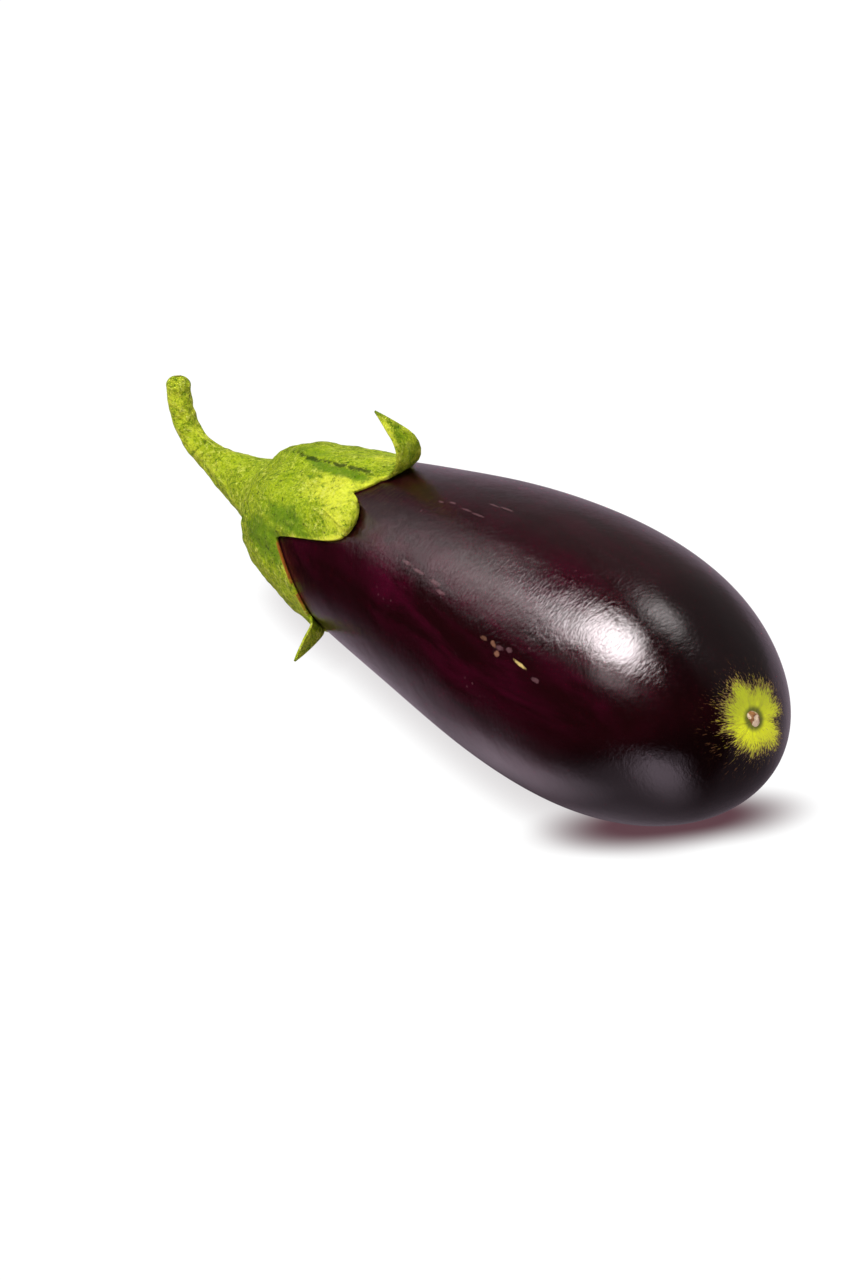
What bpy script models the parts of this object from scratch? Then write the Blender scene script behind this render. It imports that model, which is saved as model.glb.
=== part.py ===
"""Eggplant lying on its side: a glossy berry, and a five-lobed calyx that grew in one with its stalk.

Metres, +Z up. The origin is the middle of the small flat spot that the berry rests on, and +X runs
to the blossom end. A place on the skin is given by its run, the distance along the skin from the
stem end, and its turn, the angle round the berry's centreline: 0 on top and 90 degrees on the +Y side.
"""

import bisect
import math
from collections import namedtuple

import bmesh
import bpy
from mathutils import Vector

# Berry: an egg curve turned round a gently bent centreline
HALF_LENGTH = 0.1063
GIRTH = (0.0365, 0.0146, 0.0075, -0.0066)  # radius: cos(u) times a polynomial in sin(u)
SLOPE = (6.25, -9.52, -13.05)  # degrees: the centreline's slope, a polynomial in sin(u)
BLOSSOM_LIFT = 47.45  # degrees: how much more it rises towards the blossom end
BERRY_RINGS = 42
BERRY_SIDES = 50

# Where it rests
REST_X = 0.012
FLAT_DEPTH = 0.0014

# Blossom end
DIMPLE_RADIUS = 0.0065
DIMPLE_DEPTH = 0.0010
SCAR_RADIUS = 0.0022
SCAR_HEIGHT = 0.0009
SCAR_RINGS = 4

# Calyx: a fleshy cap with five lobes, whose tips fold away from the skin
GAP = 0.0003
Lobe = namedtuple(
    "Lobe", "turn fold slant rounding lean fold_radius curl tip half_width flesh fullness tip_fullness"
)
LOBES = (  # metres and degrees; the fold's crest is turned by slant, and the tip leans and curls out
    Lobe(357, 0.0802, 14, 60, 14, 0.0072, 137, 0.0102, 0.0060, 0.0022, (0.9, 0.3), 1.3),
    Lobe(80, 0.0660, 0, 40, 0, 0.0035, 100, 0.0080, 0.0050, 0.0020, (0.8, 0.8), 1.2),
    Lobe(152, 0.0560, 0, 20, 0, 0.0100, 12, 0.0060, 0.0050, 0.0012, (0.8, 0.8), 1.2),
    Lobe(234, 0.0610, -10, 30, 0, 0.0030, 80, 0.0105, 0.0040, 0.0014, (0.8, 1.0), 1.2),
    Lobe(318.5, 0.0843, 19, 120, 4, 0.0021, 178, 0.0137, 0.0052, 0.0018, (0.0, 1.0), 1.2),
)
Notch = namedtuple("Notch", "turn run")
NOTCHES = (  # each follows the lobe of the same place in LOBES
    Notch(44, 0.056),
    Notch(116, 0.050),
    Notch(190, 0.046),
    Notch(287.5, 0.0470),
    Notch(333, 0.0740),
)
EDGE_STEPS = 5  # columns from a notch to a lobe's fold
TIP_STEPS = 3  # columns from there to its tip
TIP_TAPER = 1.1
CAP_START = 0.015
BODY_RINGS = 12  # rings from there to the folds
TIP_RINGS = 10  # rings past them
TIP_SPREAD = 1.6  # the higher, the closer they keep to the folds
RIM_EDGE = 0.004  # distance from the rim of the last body ring, where there is no fold
NOTCH_FLESH = 0.0014
SHOULDER = 0.45  # share of extra flesh over the berry's shoulder
SHOULDER_RISE = 0.0085  # run over which it builds up
SHOULDER_RUN = 0.032  # run past which it falls off again
SHOULDER_FALL = 0.018
VALLEY = 0.35  # share of flesh missing where the stalk spreads into the cap
THINNING = 0.35  # the lower, the nearer the rim the calyx keeps its flesh
FOLD_THINNING = 0.25  # share of flesh missing past a fold
FOLD_THINS = 0.006  # run over which that share is lost
RIM_THICKNESS = 0.0010
INNER_RINGS = 3

# Stalk: from the berry's stem end, back and then up to its cut end
STALK_TIP = Vector((-0.0474, 0.0010, 0.0201))  # cut end, from the berry's stem end
STALK_WAY = Vector((-0.325, 0.198, 0.93))  # direction it faces
STALK_LEAVES = 0.036  # how far it keeps to the berry's own line
STALK_RISES = 0.021  # how far it runs that way below its cut end
STALK_RADIUS = 0.0037
STALK_SWELL = 0.0020  # extra radius where it starts to spread into the cap
STALK_FOOT = 0.26  # share of the stalk taken up by the fillet into the cap
STALK_RINGS = 10
FILLET_RINGS = 6
FILLET_PULL = 0.007
CUT_BEVEL = 0.0028  # radius of its cut end's edge
CUT_RINGS = 2

Finish = namedtuple("Finish", "color roughness")
SKIN_FINISH = Finish((0.016, 0.004, 0.012, 1), 0.22)
CALYX_FINISH = Finish((0.30, 0.42, 0.04, 1), 0.60)

QUARTER = math.pi / 2


def profile(u):
    """Distance along the centreline and radius at u, from -90 to 90 degrees, on the straightened berry."""
    s = math.sin(u)
    return HALF_LENGTH * s, math.cos(u) * sum(g * s**i for i, g in enumerate(GIRTH))


def slope(s):
    """Slope of the centreline at s, from -1 at the stem end to 1 at the blossom end."""
    rise = sum(degrees * s**i for i, degrees in enumerate(SLOPE)) + BLOSSOM_LIFT * max(s, 0) ** 3
    return math.radians(rise)


def centre(s, steps=24):
    """Point of the centreline at s: its slope summed from the middle by Simpson's rule."""
    x = z = 0
    for i in range(steps + 1):
        weight = 1 if i in (0, steps) else 2 + 2 * (i % 2)
        angle = slope(s * i / steps)
        x += weight * math.cos(angle)
        z += weight * math.sin(angle)
    return HALF_LENGTH * s / (3 * steps) * Vector((x, 0, z))


def ring_point(u, turn, inwards=0):
    """Point on the skin at u and turn, moved inwards along the centreline's direction."""
    s = math.sin(u)
    angle = slope(s)
    along = Vector((math.cos(angle), 0, math.sin(angle)))
    up = Vector((-math.sin(angle), 0, math.cos(angle)))
    radius = profile(u)[1]
    return centre(s) + radius * (math.cos(turn) * up + math.sin(turn) * Vector((0, 1, 0))) - inwards * along


def rest_point(samples=400):
    """The point that becomes the origin: in the flat spot, a little above the berry's lowest skin."""
    stations = (QUARTER * (2 * i / samples - 1) for i in range(1, samples))
    lowest = min(ring_point(u, math.pi).z for u in stations)
    return Vector((REST_X, 0, lowest + FLAT_DEPTH))


def run_table(samples=720):
    """Values of u, and the run to each, on the straightened berry."""
    angles = [QUARTER * (2 * i / samples - 1) for i in range(samples + 1)]
    runs = [0]
    for a, b in zip(angles, angles[1:]):
        runs.append(runs[-1] + math.dist(profile(a), profile(b)))
    return angles, runs


ANGLES, RUNS = run_table()
REST = rest_point()


def angle_at(run):
    """The value of u at run."""
    i = min(max(bisect.bisect_right(RUNS, run), 1), len(RUNS) - 1)
    part = (run - RUNS[i - 1]) / (RUNS[i] - RUNS[i - 1])
    return ANGLES[i - 1] + part * (ANGLES[i] - ANGLES[i - 1])


def radius_at(run):
    """The berry's radius at run."""
    return profile(angle_at(run))[1]


def skin(run, turn):
    """Point on the skin at run and turn."""
    return ring_point(angle_at(run), turn) - REST


def skin_frame(run, turn, step=0.0005):
    """Point on the skin, the direction away from the stem end along it, and its outward normal."""
    ahead = (skin(run + step, turn) - skin(max(run - step, 0), turn)).normalized()
    aside = (skin(run, turn + 0.01) - skin(run, turn - 0.01)).normalized()
    return skin(run, turn), ahead, ahead.cross(aside)


def ease(x):
    """Smooth step from 0 to 1."""
    x = min(max(x, 0), 1)
    return x * x * (3 - 2 * x)


def berry_rings():
    """Rings of points from the stem end to the blossom end, which is left with its dimple and scar."""
    step = 2 * QUARTER / BERRY_RINGS
    angles = [i * step - QUARTER for i in range(1, BERRY_RINGS)]
    angles += [QUARTER - step * i / SCAR_RINGS for i in range(SCAR_RINGS - 1, 0, -1)]
    rings = []
    for u in angles:
        turns = (2 * math.pi * i / BERRY_SIDES for i in range(BERRY_SIDES))
        rings.append([ring_point(u, turn, blossom_dent(u)) - REST for turn in turns])
    return rings


def blossom_dent(u):
    """How far the skin is drawn in at u round the blossom scar, which stands a little proud again."""
    if u < 0:
        return 0
    radius = profile(u)[1]
    dimple = DIMPLE_DEPTH * math.exp(-((radius / DIMPLE_RADIUS) ** 2))
    return dimple - SCAR_HEIGHT * ease(2 - radius / SCAR_RADIUS)


def flattened(point):
    """The point, lifted to the flat spot's level where it lies below."""
    return Vector((point.x, point.y, max(point.z, 0)))


def crest(lobe, aside):
    """Run of a lobe's fold at that distance to the side of its middle line."""
    aside = min(max(aside, -lobe.half_width), lobe.half_width)
    return lobe.fold - math.tan(math.radians(lobe.slant)) * aside - lobe.rounding * aside**2


# near: 0 at a notch, 1 at the lobe's tip; crest: run of the fold; rim: run of the rim
Column = namedtuple("Column", "turn rim crest lobe near")


def lobe_side(lobe, notch, fullness):
    """Columns of half a lobe, from the notch beside it to its tip.

    fullness tells how round its outline is before the tip: 0 is an S curve and 1 an arch."""
    radius = radius_at(lobe.fold)
    away = math.radians((notch.turn - lobe.turn + 180) % 360 - 180)
    half_turn = math.copysign(lobe.half_width / radius, away)
    corner = crest(lobe, half_turn * radius)
    beyond = lobe.fold_radius * math.radians(lobe.curl) + lobe.tip
    side = []
    for i in range(EDGE_STEPS):
        part = i / EDGE_STEPS
        arch = fullness * math.sin(QUARTER * part) + (1 - fullness) * ease(part)
        left = away + (half_turn - away) * part
        side.append((left, notch.run + (corner - notch.run) * arch))
    for i in range(TIP_STEPS + 1):
        part = i / TIP_STEPS
        left = half_turn * (1 - part**lobe.tip_fullness)
        side.append((left, corner + (lobe.fold + beyond - corner) * part**TIP_TAPER))
    turn = math.radians(lobe.turn)
    return [
        Column(turn + left, rim, crest(lobe, left * radius), lobe, 1 - left / away) for left, rim in side
    ]


def lobe_columns():
    """The columns of the whole calyx, once round."""
    columns = []
    for i, lobe in enumerate(LOBES):
        columns += lobe_side(lobe, NOTCHES[i - 1], lobe.fullness[0])[:-1]
        columns += lobe_side(lobe, NOTCHES[i], lobe.fullness[1])[:0:-1]
    return columns


def flesh(column, run):
    """Thickness of the calyx at run on a column."""
    inside = ease((column.rim - run) / (column.rim - CAP_START))
    rise = ease((run - CAP_START) / SHOULDER_RISE)
    shoulder = SHOULDER * rise * (1 - ease((run - SHOULDER_RUN) / SHOULDER_FALL))
    body = NOTCH_FLESH + (column.lobe.flesh - NOTCH_FLESH) * ease(column.near)
    body *= (1 + shoulder) * (1 - VALLEY * (1 - rise))
    body *= 1 - FOLD_THINNING * ease((run - column.crest) / FOLD_THINS + 1)
    return RIM_THICKNESS + body * inside**THINNING


def cap_point(column, run, height):
    """Point of the calyx at height over the skin, or over the folded lobe past its fold."""
    lobe = column.lobe
    lean = math.radians(lobe.lean)
    beyond = max(run - column.crest, 0)
    base, ahead, normal = skin_frame(run - beyond, column.turn)
    outwards = ahead * math.cos(lean) + normal.cross(ahead) * math.sin(lean)
    bend = min(beyond / lobe.fold_radius, math.radians(lobe.curl))
    straight = beyond - bend * lobe.fold_radius
    forward = lobe.fold_radius * math.sin(bend) + straight * math.cos(bend)
    upward = lobe.fold_radius * (1 - math.cos(bend)) + straight * math.sin(bend)
    facing = normal * math.cos(bend) - outwards * math.sin(bend)
    return base + outwards * forward + normal * upward + facing * height


def cap_run(column, i):
    """Run of the cap's ring i on a column."""
    fold = min(column.crest, column.rim - RIM_EDGE)
    if i <= BODY_RINGS:
        return CAP_START + (fold - CAP_START) * i / BODY_RINGS
    return fold + (column.rim - fold) * ((i - BODY_RINGS) / TIP_RINGS) ** TIP_SPREAD


def cap_rings(columns):
    """Rings over the cap's outside down to the scalloped rim, and back under it."""
    outside, inside = [], []
    for i in range(BODY_RINGS + TIP_RINGS + 1):
        runs = [cap_run(column, i) for column in columns]
        heights = [GAP + flesh(column, run) for column, run in zip(columns, runs)]
        outside.append([cap_point(*place) for place in zip(columns, runs, heights)])
        inside.append([cap_point(column, run, GAP) for column, run in zip(columns, runs)])
    return outside, inside[::-1]


def inner_rings(columns):
    """Rings from under the cap in to the berry's stem end, close over its skin."""
    rings = []
    for i in range(INNER_RINGS, 0, -1):
        run = CAP_START * i / (INNER_RINGS + 1)
        rings.append([cap_point(column, run, GAP) for column in columns])
    return rings


def bezier(points, t):
    """Point at t on a cubic Bezier curve."""
    a, b, c, d = points
    return a * (1 - t) ** 3 + b * (3 * t * (1 - t) ** 2) + c * (3 * t * t * (1 - t)) + d * t**3


def stalk_line():
    """Control points of the stalk's middle line, from the berry's stem end to the cut end."""
    foot, _, _ = skin_frame(0, 0)
    angle = slope(-1)
    back = Vector((-math.cos(angle), 0, -math.sin(angle)))
    tip = foot + STALK_TIP
    return foot, foot + back * STALK_LEAVES, tip - STALK_WAY.normalized() * STALK_RISES, tip


def stalk_ring(columns, t, radius):
    """Ring of the stalk at t, 0 at its foot and 1 at its cut end."""
    line = stalk_line()
    along = (bezier(line, t + 0.01) - bezier(line, t - 0.01)).normalized()
    up = Vector((0, 1, 0)).cross(along).normalized()
    side = along.cross(up)
    middle = bezier(line, t)
    return [middle + radius * (math.cos(c.turn) * up + math.sin(c.turn) * side) for c in columns]


def stalk_rings(columns):
    """Rings from the stalk's cut end to where it starts to spread into the cap."""
    rings = []
    edge = CUT_BEVEL / STALK_TIP.length
    for i in range(CUT_RINGS):
        angle = QUARTER * i / CUT_RINGS
        radius = STALK_RADIUS - CUT_BEVEL * (1 - math.sin(angle))
        rings.append(stalk_ring(columns, 1 - edge * (1 - math.cos(angle)), radius))
    for i in range(STALK_RINGS + 1):
        t = 1 - edge - (1 - edge - STALK_FOOT) * i / STALK_RINGS
        swell = STALK_SWELL * ((1 - t) / (1 - STALK_FOOT)) ** 6
        rings.append(stalk_ring(columns, t, STALK_RADIUS + swell))
    return rings


def fillet_rings(columns, stalk, cap_edge):
    """Rings that carry the stalk's last ring smoothly into the cap's first one."""
    rings = []
    for i in range(1, FILLET_RINGS):
        ring = []
        for column, before, start, end in zip(columns, stalk[-2], stalk[-1], cap_edge):
            leaving = (start - before).normalized()
            _, arriving, _ = skin_frame(CAP_START, column.turn)
            curve = (start, start + leaving * FILLET_PULL, end - arriving * FILLET_PULL, end)
            ring.append(bezier(curve, i / FILLET_RINGS))
        rings.append(ring)
    return rings


def closed_mesh(name, rings, first, last, slants):
    """Mesh object through rings of equal count, closed at both ends by a point.

    slants gives, for each gap between rings, which way each of its four-sided faces is split in two."""
    form = bmesh.new()
    start = form.verts.new(first)
    loops = [[form.verts.new(point) for point in ring] for ring in rings]
    end = form.verts.new(last)
    for i in range(len(rings[0])):
        j = i - 1
        form.faces.new((start, loops[0][j], loops[0][i]))
        form.faces.new((end, loops[-1][i], loops[-1][j]))
        for near, far, slant in zip(loops, loops[1:], slants):
            corners = (near[j], far[j], far[i], near[i])
            if slant[i]:
                corners = (far[j], far[i], near[i], near[j])
            form.faces.new(corners[:3])
            form.faces.new((corners[0], corners[2], corners[3]))
    mesh = bpy.data.meshes.new(name)
    form.to_mesh(mesh)
    form.free()
    mesh.shade_smooth()
    return bpy.data.objects.new(name, mesh)


def dress(piece, finish):
    """Gives the piece a Principled material of its own."""
    material = bpy.data.materials.new(piece.name)
    material.use_nodes = True
    shader = material.node_tree.nodes["Principled BSDF"]
    shader.inputs["Base Color"].default_value = finish.color
    shader.inputs["Roughness"].default_value = finish.roughness
    shader.inputs["Metallic"].default_value = 0
    piece.data.materials.append(material)


def make_fruit():
    """The berry, flat where it rests."""
    rings = [[flattened(point) for point in ring] for ring in berry_rings()]
    blossom = ring_point(QUARTER, 0, blossom_dent(QUARTER)) - REST
    slants = [[False] * BERRY_SIDES] * len(rings)
    return closed_mesh("fruit", rings, skin(0, 0), blossom, slants)


def make_calyx():
    """The calyx and its stalk."""
    columns = lobe_columns()
    stalk = stalk_rings(columns)
    outside, inside = cap_rings(columns)
    upper = stalk + fillet_rings(columns, stalk, outside[0]) + outside
    lower = inside + inner_rings(columns)
    rises = [column.rim > columns[i - 1].rim for i, column in enumerate(columns)]
    falls = [not rise for rise in rises]  # keeps both sides of a lobe split alike
    slants = [rises] * len(upper) + [falls] * len(lower)
    cut_end = stalk_line()[-1]
    angle = slope(-1)
    under = skin(0, 0) - GAP * Vector((math.cos(angle), 0, math.sin(angle)))
    return closed_mesh("calyx", upper + lower, cut_end, under, slants)


def main():
    for piece in list(bpy.data.objects):
        bpy.data.objects.remove(piece, do_unlink=True)
    for make, finish in ((make_fruit, SKIN_FINISH), (make_calyx, CALYX_FINISH)):
        piece = make()
        dress(piece, finish)
        bpy.context.scene.collection.objects.link(piece)


main()
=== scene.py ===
"""Looks of the eggplant: its glossy skin, its fleshy calyx and stalk, and the studio that they lie in.

Metres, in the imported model's frame: the origin is the middle of the flat spot that the berry rests
on, +X runs to the blossom end and +Z is up. A place on the skin is given by its run, the distance
along the skin from the stem end, and its turn, the angle round the berry's centreline: 0 on top and
90 degrees on the +Y side.
"""

import logging
import math
from collections.abc import Sequence
from dataclasses import dataclass, field
from enum import Enum
from functools import partial, reduce

import bpy
import numpy as np
from mathutils import Matrix, Vector, noise


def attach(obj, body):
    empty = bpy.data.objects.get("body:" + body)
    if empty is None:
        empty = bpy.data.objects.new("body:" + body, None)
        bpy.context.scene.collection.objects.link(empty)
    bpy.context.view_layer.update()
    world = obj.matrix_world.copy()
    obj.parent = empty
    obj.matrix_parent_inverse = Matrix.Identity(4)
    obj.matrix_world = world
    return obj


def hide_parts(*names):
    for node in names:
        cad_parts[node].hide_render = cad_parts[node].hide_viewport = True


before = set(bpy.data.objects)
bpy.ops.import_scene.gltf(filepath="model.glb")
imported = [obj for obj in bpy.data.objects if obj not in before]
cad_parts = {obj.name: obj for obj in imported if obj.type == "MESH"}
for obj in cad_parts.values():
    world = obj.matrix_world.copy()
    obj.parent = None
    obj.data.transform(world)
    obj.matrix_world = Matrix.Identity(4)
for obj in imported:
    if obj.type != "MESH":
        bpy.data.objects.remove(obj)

Array = np.ndarray
Span = tuple[float, float]
Color = tuple[float, float, float]
Piece = bpy.types.Object
Socket = bpy.types.NodeSocket
Value = Socket | float
Paint = Socket | Color
Inputs = dict[str | int, Socket | float | Color]

QUARTER = math.pi / 2
SIDEWAYS = np.array([0.0, 1.0, 0.0])
UNSCALED = (1.0, 1.0, 1.0)
BODY = "root"
MIX_INPUTS = (0, 6, 7)  # a colour mixer's share and its two colours, among its inputs of every type
MIX_OUTPUT = 2

log = logging.getLogger("eggplant")


class Slot(Enum):
    """The record's material slots."""

    SKIN = "skin"
    CALYX = "calyx"


# ---------------------------------------------------------------------------------------------
# Small tools
# ---------------------------------------------------------------------------------------------


def ease(x: Array) -> Array:
    """Smooth step from 0 to 1."""
    x = np.clip(x, 0, 1)
    return x * x * (3 - 2 * x)


def unit(vectors: Array) -> Array:
    """The vectors, each scaled to length 1."""
    return vectors / np.maximum(np.linalg.norm(vectors, axis=-1, keepdims=True), 1e-12)


def bump(x: Array, middle: float | Array, width: float | Array) -> Array:
    """Bell curve of height 1 round middle."""
    return np.exp(-(((x - middle) / width) ** 2))


def bezier(points: Sequence[Array], t: float) -> Array:
    """Point at t on the cubic Bezier curve with those four control points."""
    a, b, c, d = points
    return a * (1 - t) ** 3 + b * (3 * t * (1 - t) ** 2) + c * (3 * t * t * (1 - t)) + d * t**3


def lumps(points: Array, size: float, seed: float = 0.0) -> Array:
    """Smooth noise from about -1 to 1 at each point.

    Args:
        points: Places in metres, in an array whose last axis is x, y, z.
        size: How far apart its lumps are, in metres.
        seed: Offset that gives another pattern.

    Returns:
        One value for each point.
    """
    flat = points.reshape(-1, 3) / size + seed
    values = [noise.noise(Vector(p)) for p in flat]
    return np.array(values).reshape(points.shape[:-1])


def grid_normals(rings: Array) -> Array:
    """Outward normals of a tube.

    Args:
        rings: Its points, in rings that run away from its first end.

    Returns:
        The normal at each point.
    """
    along = unit(np.gradient(rings, axis=0))
    around = unit(np.roll(rings, -1, axis=1) - np.roll(rings, 1, axis=1))
    return unit(np.cross(along, around))


def make_mesh(name: str, rings: Array, first: Array | None, last: Array | None) -> Piece:
    """Mesh object through closed rings of points.

    Args:
        name: The piece's name.
        rings: Points in an array of rings by columns by 3.
        first: Point that closes the first ring, or None where it stays open.
        last: Point that closes the last ring, or None where it stays open.

    Returns:
        The object, shaded smooth and linked to the scene.
    """
    count, columns, _ = rings.shape
    points = rings.reshape(-1, 3).tolist()
    number = np.arange(count * columns).reshape(count, columns)
    after = np.roll(number, -1, axis=1)
    faces = np.stack([number[:-1], number[1:], after[1:], after[:-1]], axis=-1).reshape(-1, 4).tolist()
    for tip, one, other in ((first, number[0], after[0]), (last, after[-1], number[-1])):
        if tip is not None:
            faces += [(len(points), *pair) for pair in zip(one.tolist(), other.tolist())]
            points.append(tip.tolist())
    mesh = bpy.data.meshes.new(name)
    mesh.from_pydata(points, [], faces)
    mesh.shade_smooth()
    piece = bpy.data.objects.new(name, mesh)
    bpy.context.scene.collection.objects.link(piece)
    return piece


def paint(piece: Piece, name: str, values: Array) -> None:
    """Stores one value a vertex, for the piece's material to read.

    Args:
        piece: The mesh object.
        name: The attribute's name.
        values: The values, in the order of the vertices; the last ones may be left out and are 0.
    """
    full = np.zeros(len(piece.data.vertices), np.float32)
    flat = np.asarray(values, np.float32).ravel()
    full[: len(flat)] = flat
    piece.data.attributes.new(name, "FLOAT", "POINT").data.foreach_set("value", full)


# ---------------------------------------------------------------------------------------------
# Form of the berry, which everything else follows
# ---------------------------------------------------------------------------------------------


@dataclass(frozen=True)
class BerryForm:
    """The berry's form: an egg curve turned round a gently bent centreline.

    girth holds the factors of the radius and slope_degrees those of the centreline's slope, each for
    a rising power of s, which goes from -1 at the stem end to 1 at the blossom end. u is its arcsine.
    """

    half_length: float = 0.1063
    girth: tuple[float, ...] = (0.0365, 0.0146, 0.0075, -0.0066)
    slope_degrees: tuple[float, ...] = (6.25, -9.52, -13.05)
    blossom_lift: float = 47.45
    rest_x: float = 0.012
    flat_depth: float = 0.0014
    dimple_radius: float = 0.0065
    dimple_depth: float = 0.0010
    scar_aside: float = 0.0012
    scar_up: float = 0.0005
    table_size: int = 2001

    def __post_init__(self) -> None:
        """Works out the centreline, the runs and the rest point once."""
        s = np.linspace(-1, 1, self.table_size)
        angle = self.slope(s)
        step = self.half_length * (s[1] - s[0])
        ways = []
        for rate in (np.cos(angle), np.sin(angle)):
            way = np.concatenate([[0], np.cumsum(step * (rate[1:] + rate[:-1]) / 2)])
            ways.append(way - way[len(s) // 2])
        object.__setattr__(self, "_line", (s, *ways))
        u = np.linspace(-QUARTER, QUARTER, self.table_size)
        along, radius = self.profile(u)
        run = np.concatenate([[0], np.cumsum(np.hypot(np.diff(along), np.diff(radius)))])
        object.__setattr__(self, "_runs", (u, run))
        lowest = self.ring_point(u, np.full_like(u, math.pi))[:, 2].min()
        object.__setattr__(self, "rest", np.array([self.rest_x, 0, lowest + self.flat_depth]))

    def profile(self, u: Array) -> tuple[Array, Array]:
        """Distance along the centreline and radius at u, on the straightened berry."""
        s = np.sin(u)
        return self.half_length * s, np.cos(u) * sum(g * s**i for i, g in enumerate(self.girth))

    def slope(self, s: Array) -> Array:
        """Slope of the centreline at s."""
        rise = sum(degrees * s**i for i, degrees in enumerate(self.slope_degrees))
        return np.radians(rise + self.blossom_lift * np.maximum(s, 0) ** 3)

    def ring_point(self, u: Array, turn: Array) -> Array:
        """Points on the skin before the move to the rest point.

        Args:
            u: Where they lie along the berry.
            turn: Where they lie round it.

        Returns:
            The points.
        """
        s = np.sin(u)
        table, x, z = self._line
        angle = self.slope(s)
        radius = self.profile(u)[1]
        centre = np.stack([np.interp(s, table, x), np.zeros_like(s), np.interp(s, table, z)], -1)
        up = np.stack([-np.sin(angle), np.zeros_like(s), np.cos(angle)], -1)
        rise, width = radius * np.cos(turn), radius * np.sin(turn)
        return centre + rise[..., None] * up + width[..., None] * SIDEWAYS

    def angle_at(self, run: Array) -> Array:
        """The value of u at run."""
        return np.interp(run, self._runs[1], self._runs[0])

    def radius_at(self, run: Array | float) -> Array:
        """The berry's radius at run."""
        return self.profile(self.angle_at(run))[1]

    def skin(self, run: Array, turn: Array) -> Array:
        """Points on the skin at run and turn."""
        return self.ring_point(self.angle_at(run), turn) - self.rest

    def skin_frame(self, run: Array, turn: Array, step: float = 0.0005) -> tuple[Array, Array, Array]:
        """Points on the skin and how it lies there.

        Args:
            run: Their runs.
            turn: Their turns.
            step: Distance over which the directions are measured.

        Returns:
            The points, the direction away from the stem end along the skin, and its outward normal.
        """
        ahead = unit(self.skin(run + step, turn) - self.skin(np.maximum(run - step, 0), turn))
        aside = unit(self.skin(run, turn + 0.01) - self.skin(run, turn - 0.01))
        return self.skin(run, turn), ahead, np.cross(ahead, aside)

    def end(self, sign: int) -> tuple[Array, Array]:
        """An end of the berry.

        Args:
            sign: -1 for the stem end, 1 for the blossom end.

        Returns:
            Its point and the direction out of it.
        """
        point = self.ring_point(np.array(sign * QUARTER), np.array(0.0)) - self.rest
        angle = float(self.slope(np.array(float(sign))))
        return point, sign * np.array([math.cos(angle), 0, math.sin(angle)])

    def blossom(self) -> tuple[Array, Array]:
        """The middle of the blossom scar, a little to the side of the end, and the direction out of it."""
        point, out = self.end(1)
        return point + self.scar_aside * SIDEWAYS + self.scar_up * np.cross(out, SIDEWAYS), out


BERRY = BerryForm()


# ---------------------------------------------------------------------------------------------
# Node graphs
# ---------------------------------------------------------------------------------------------


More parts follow.
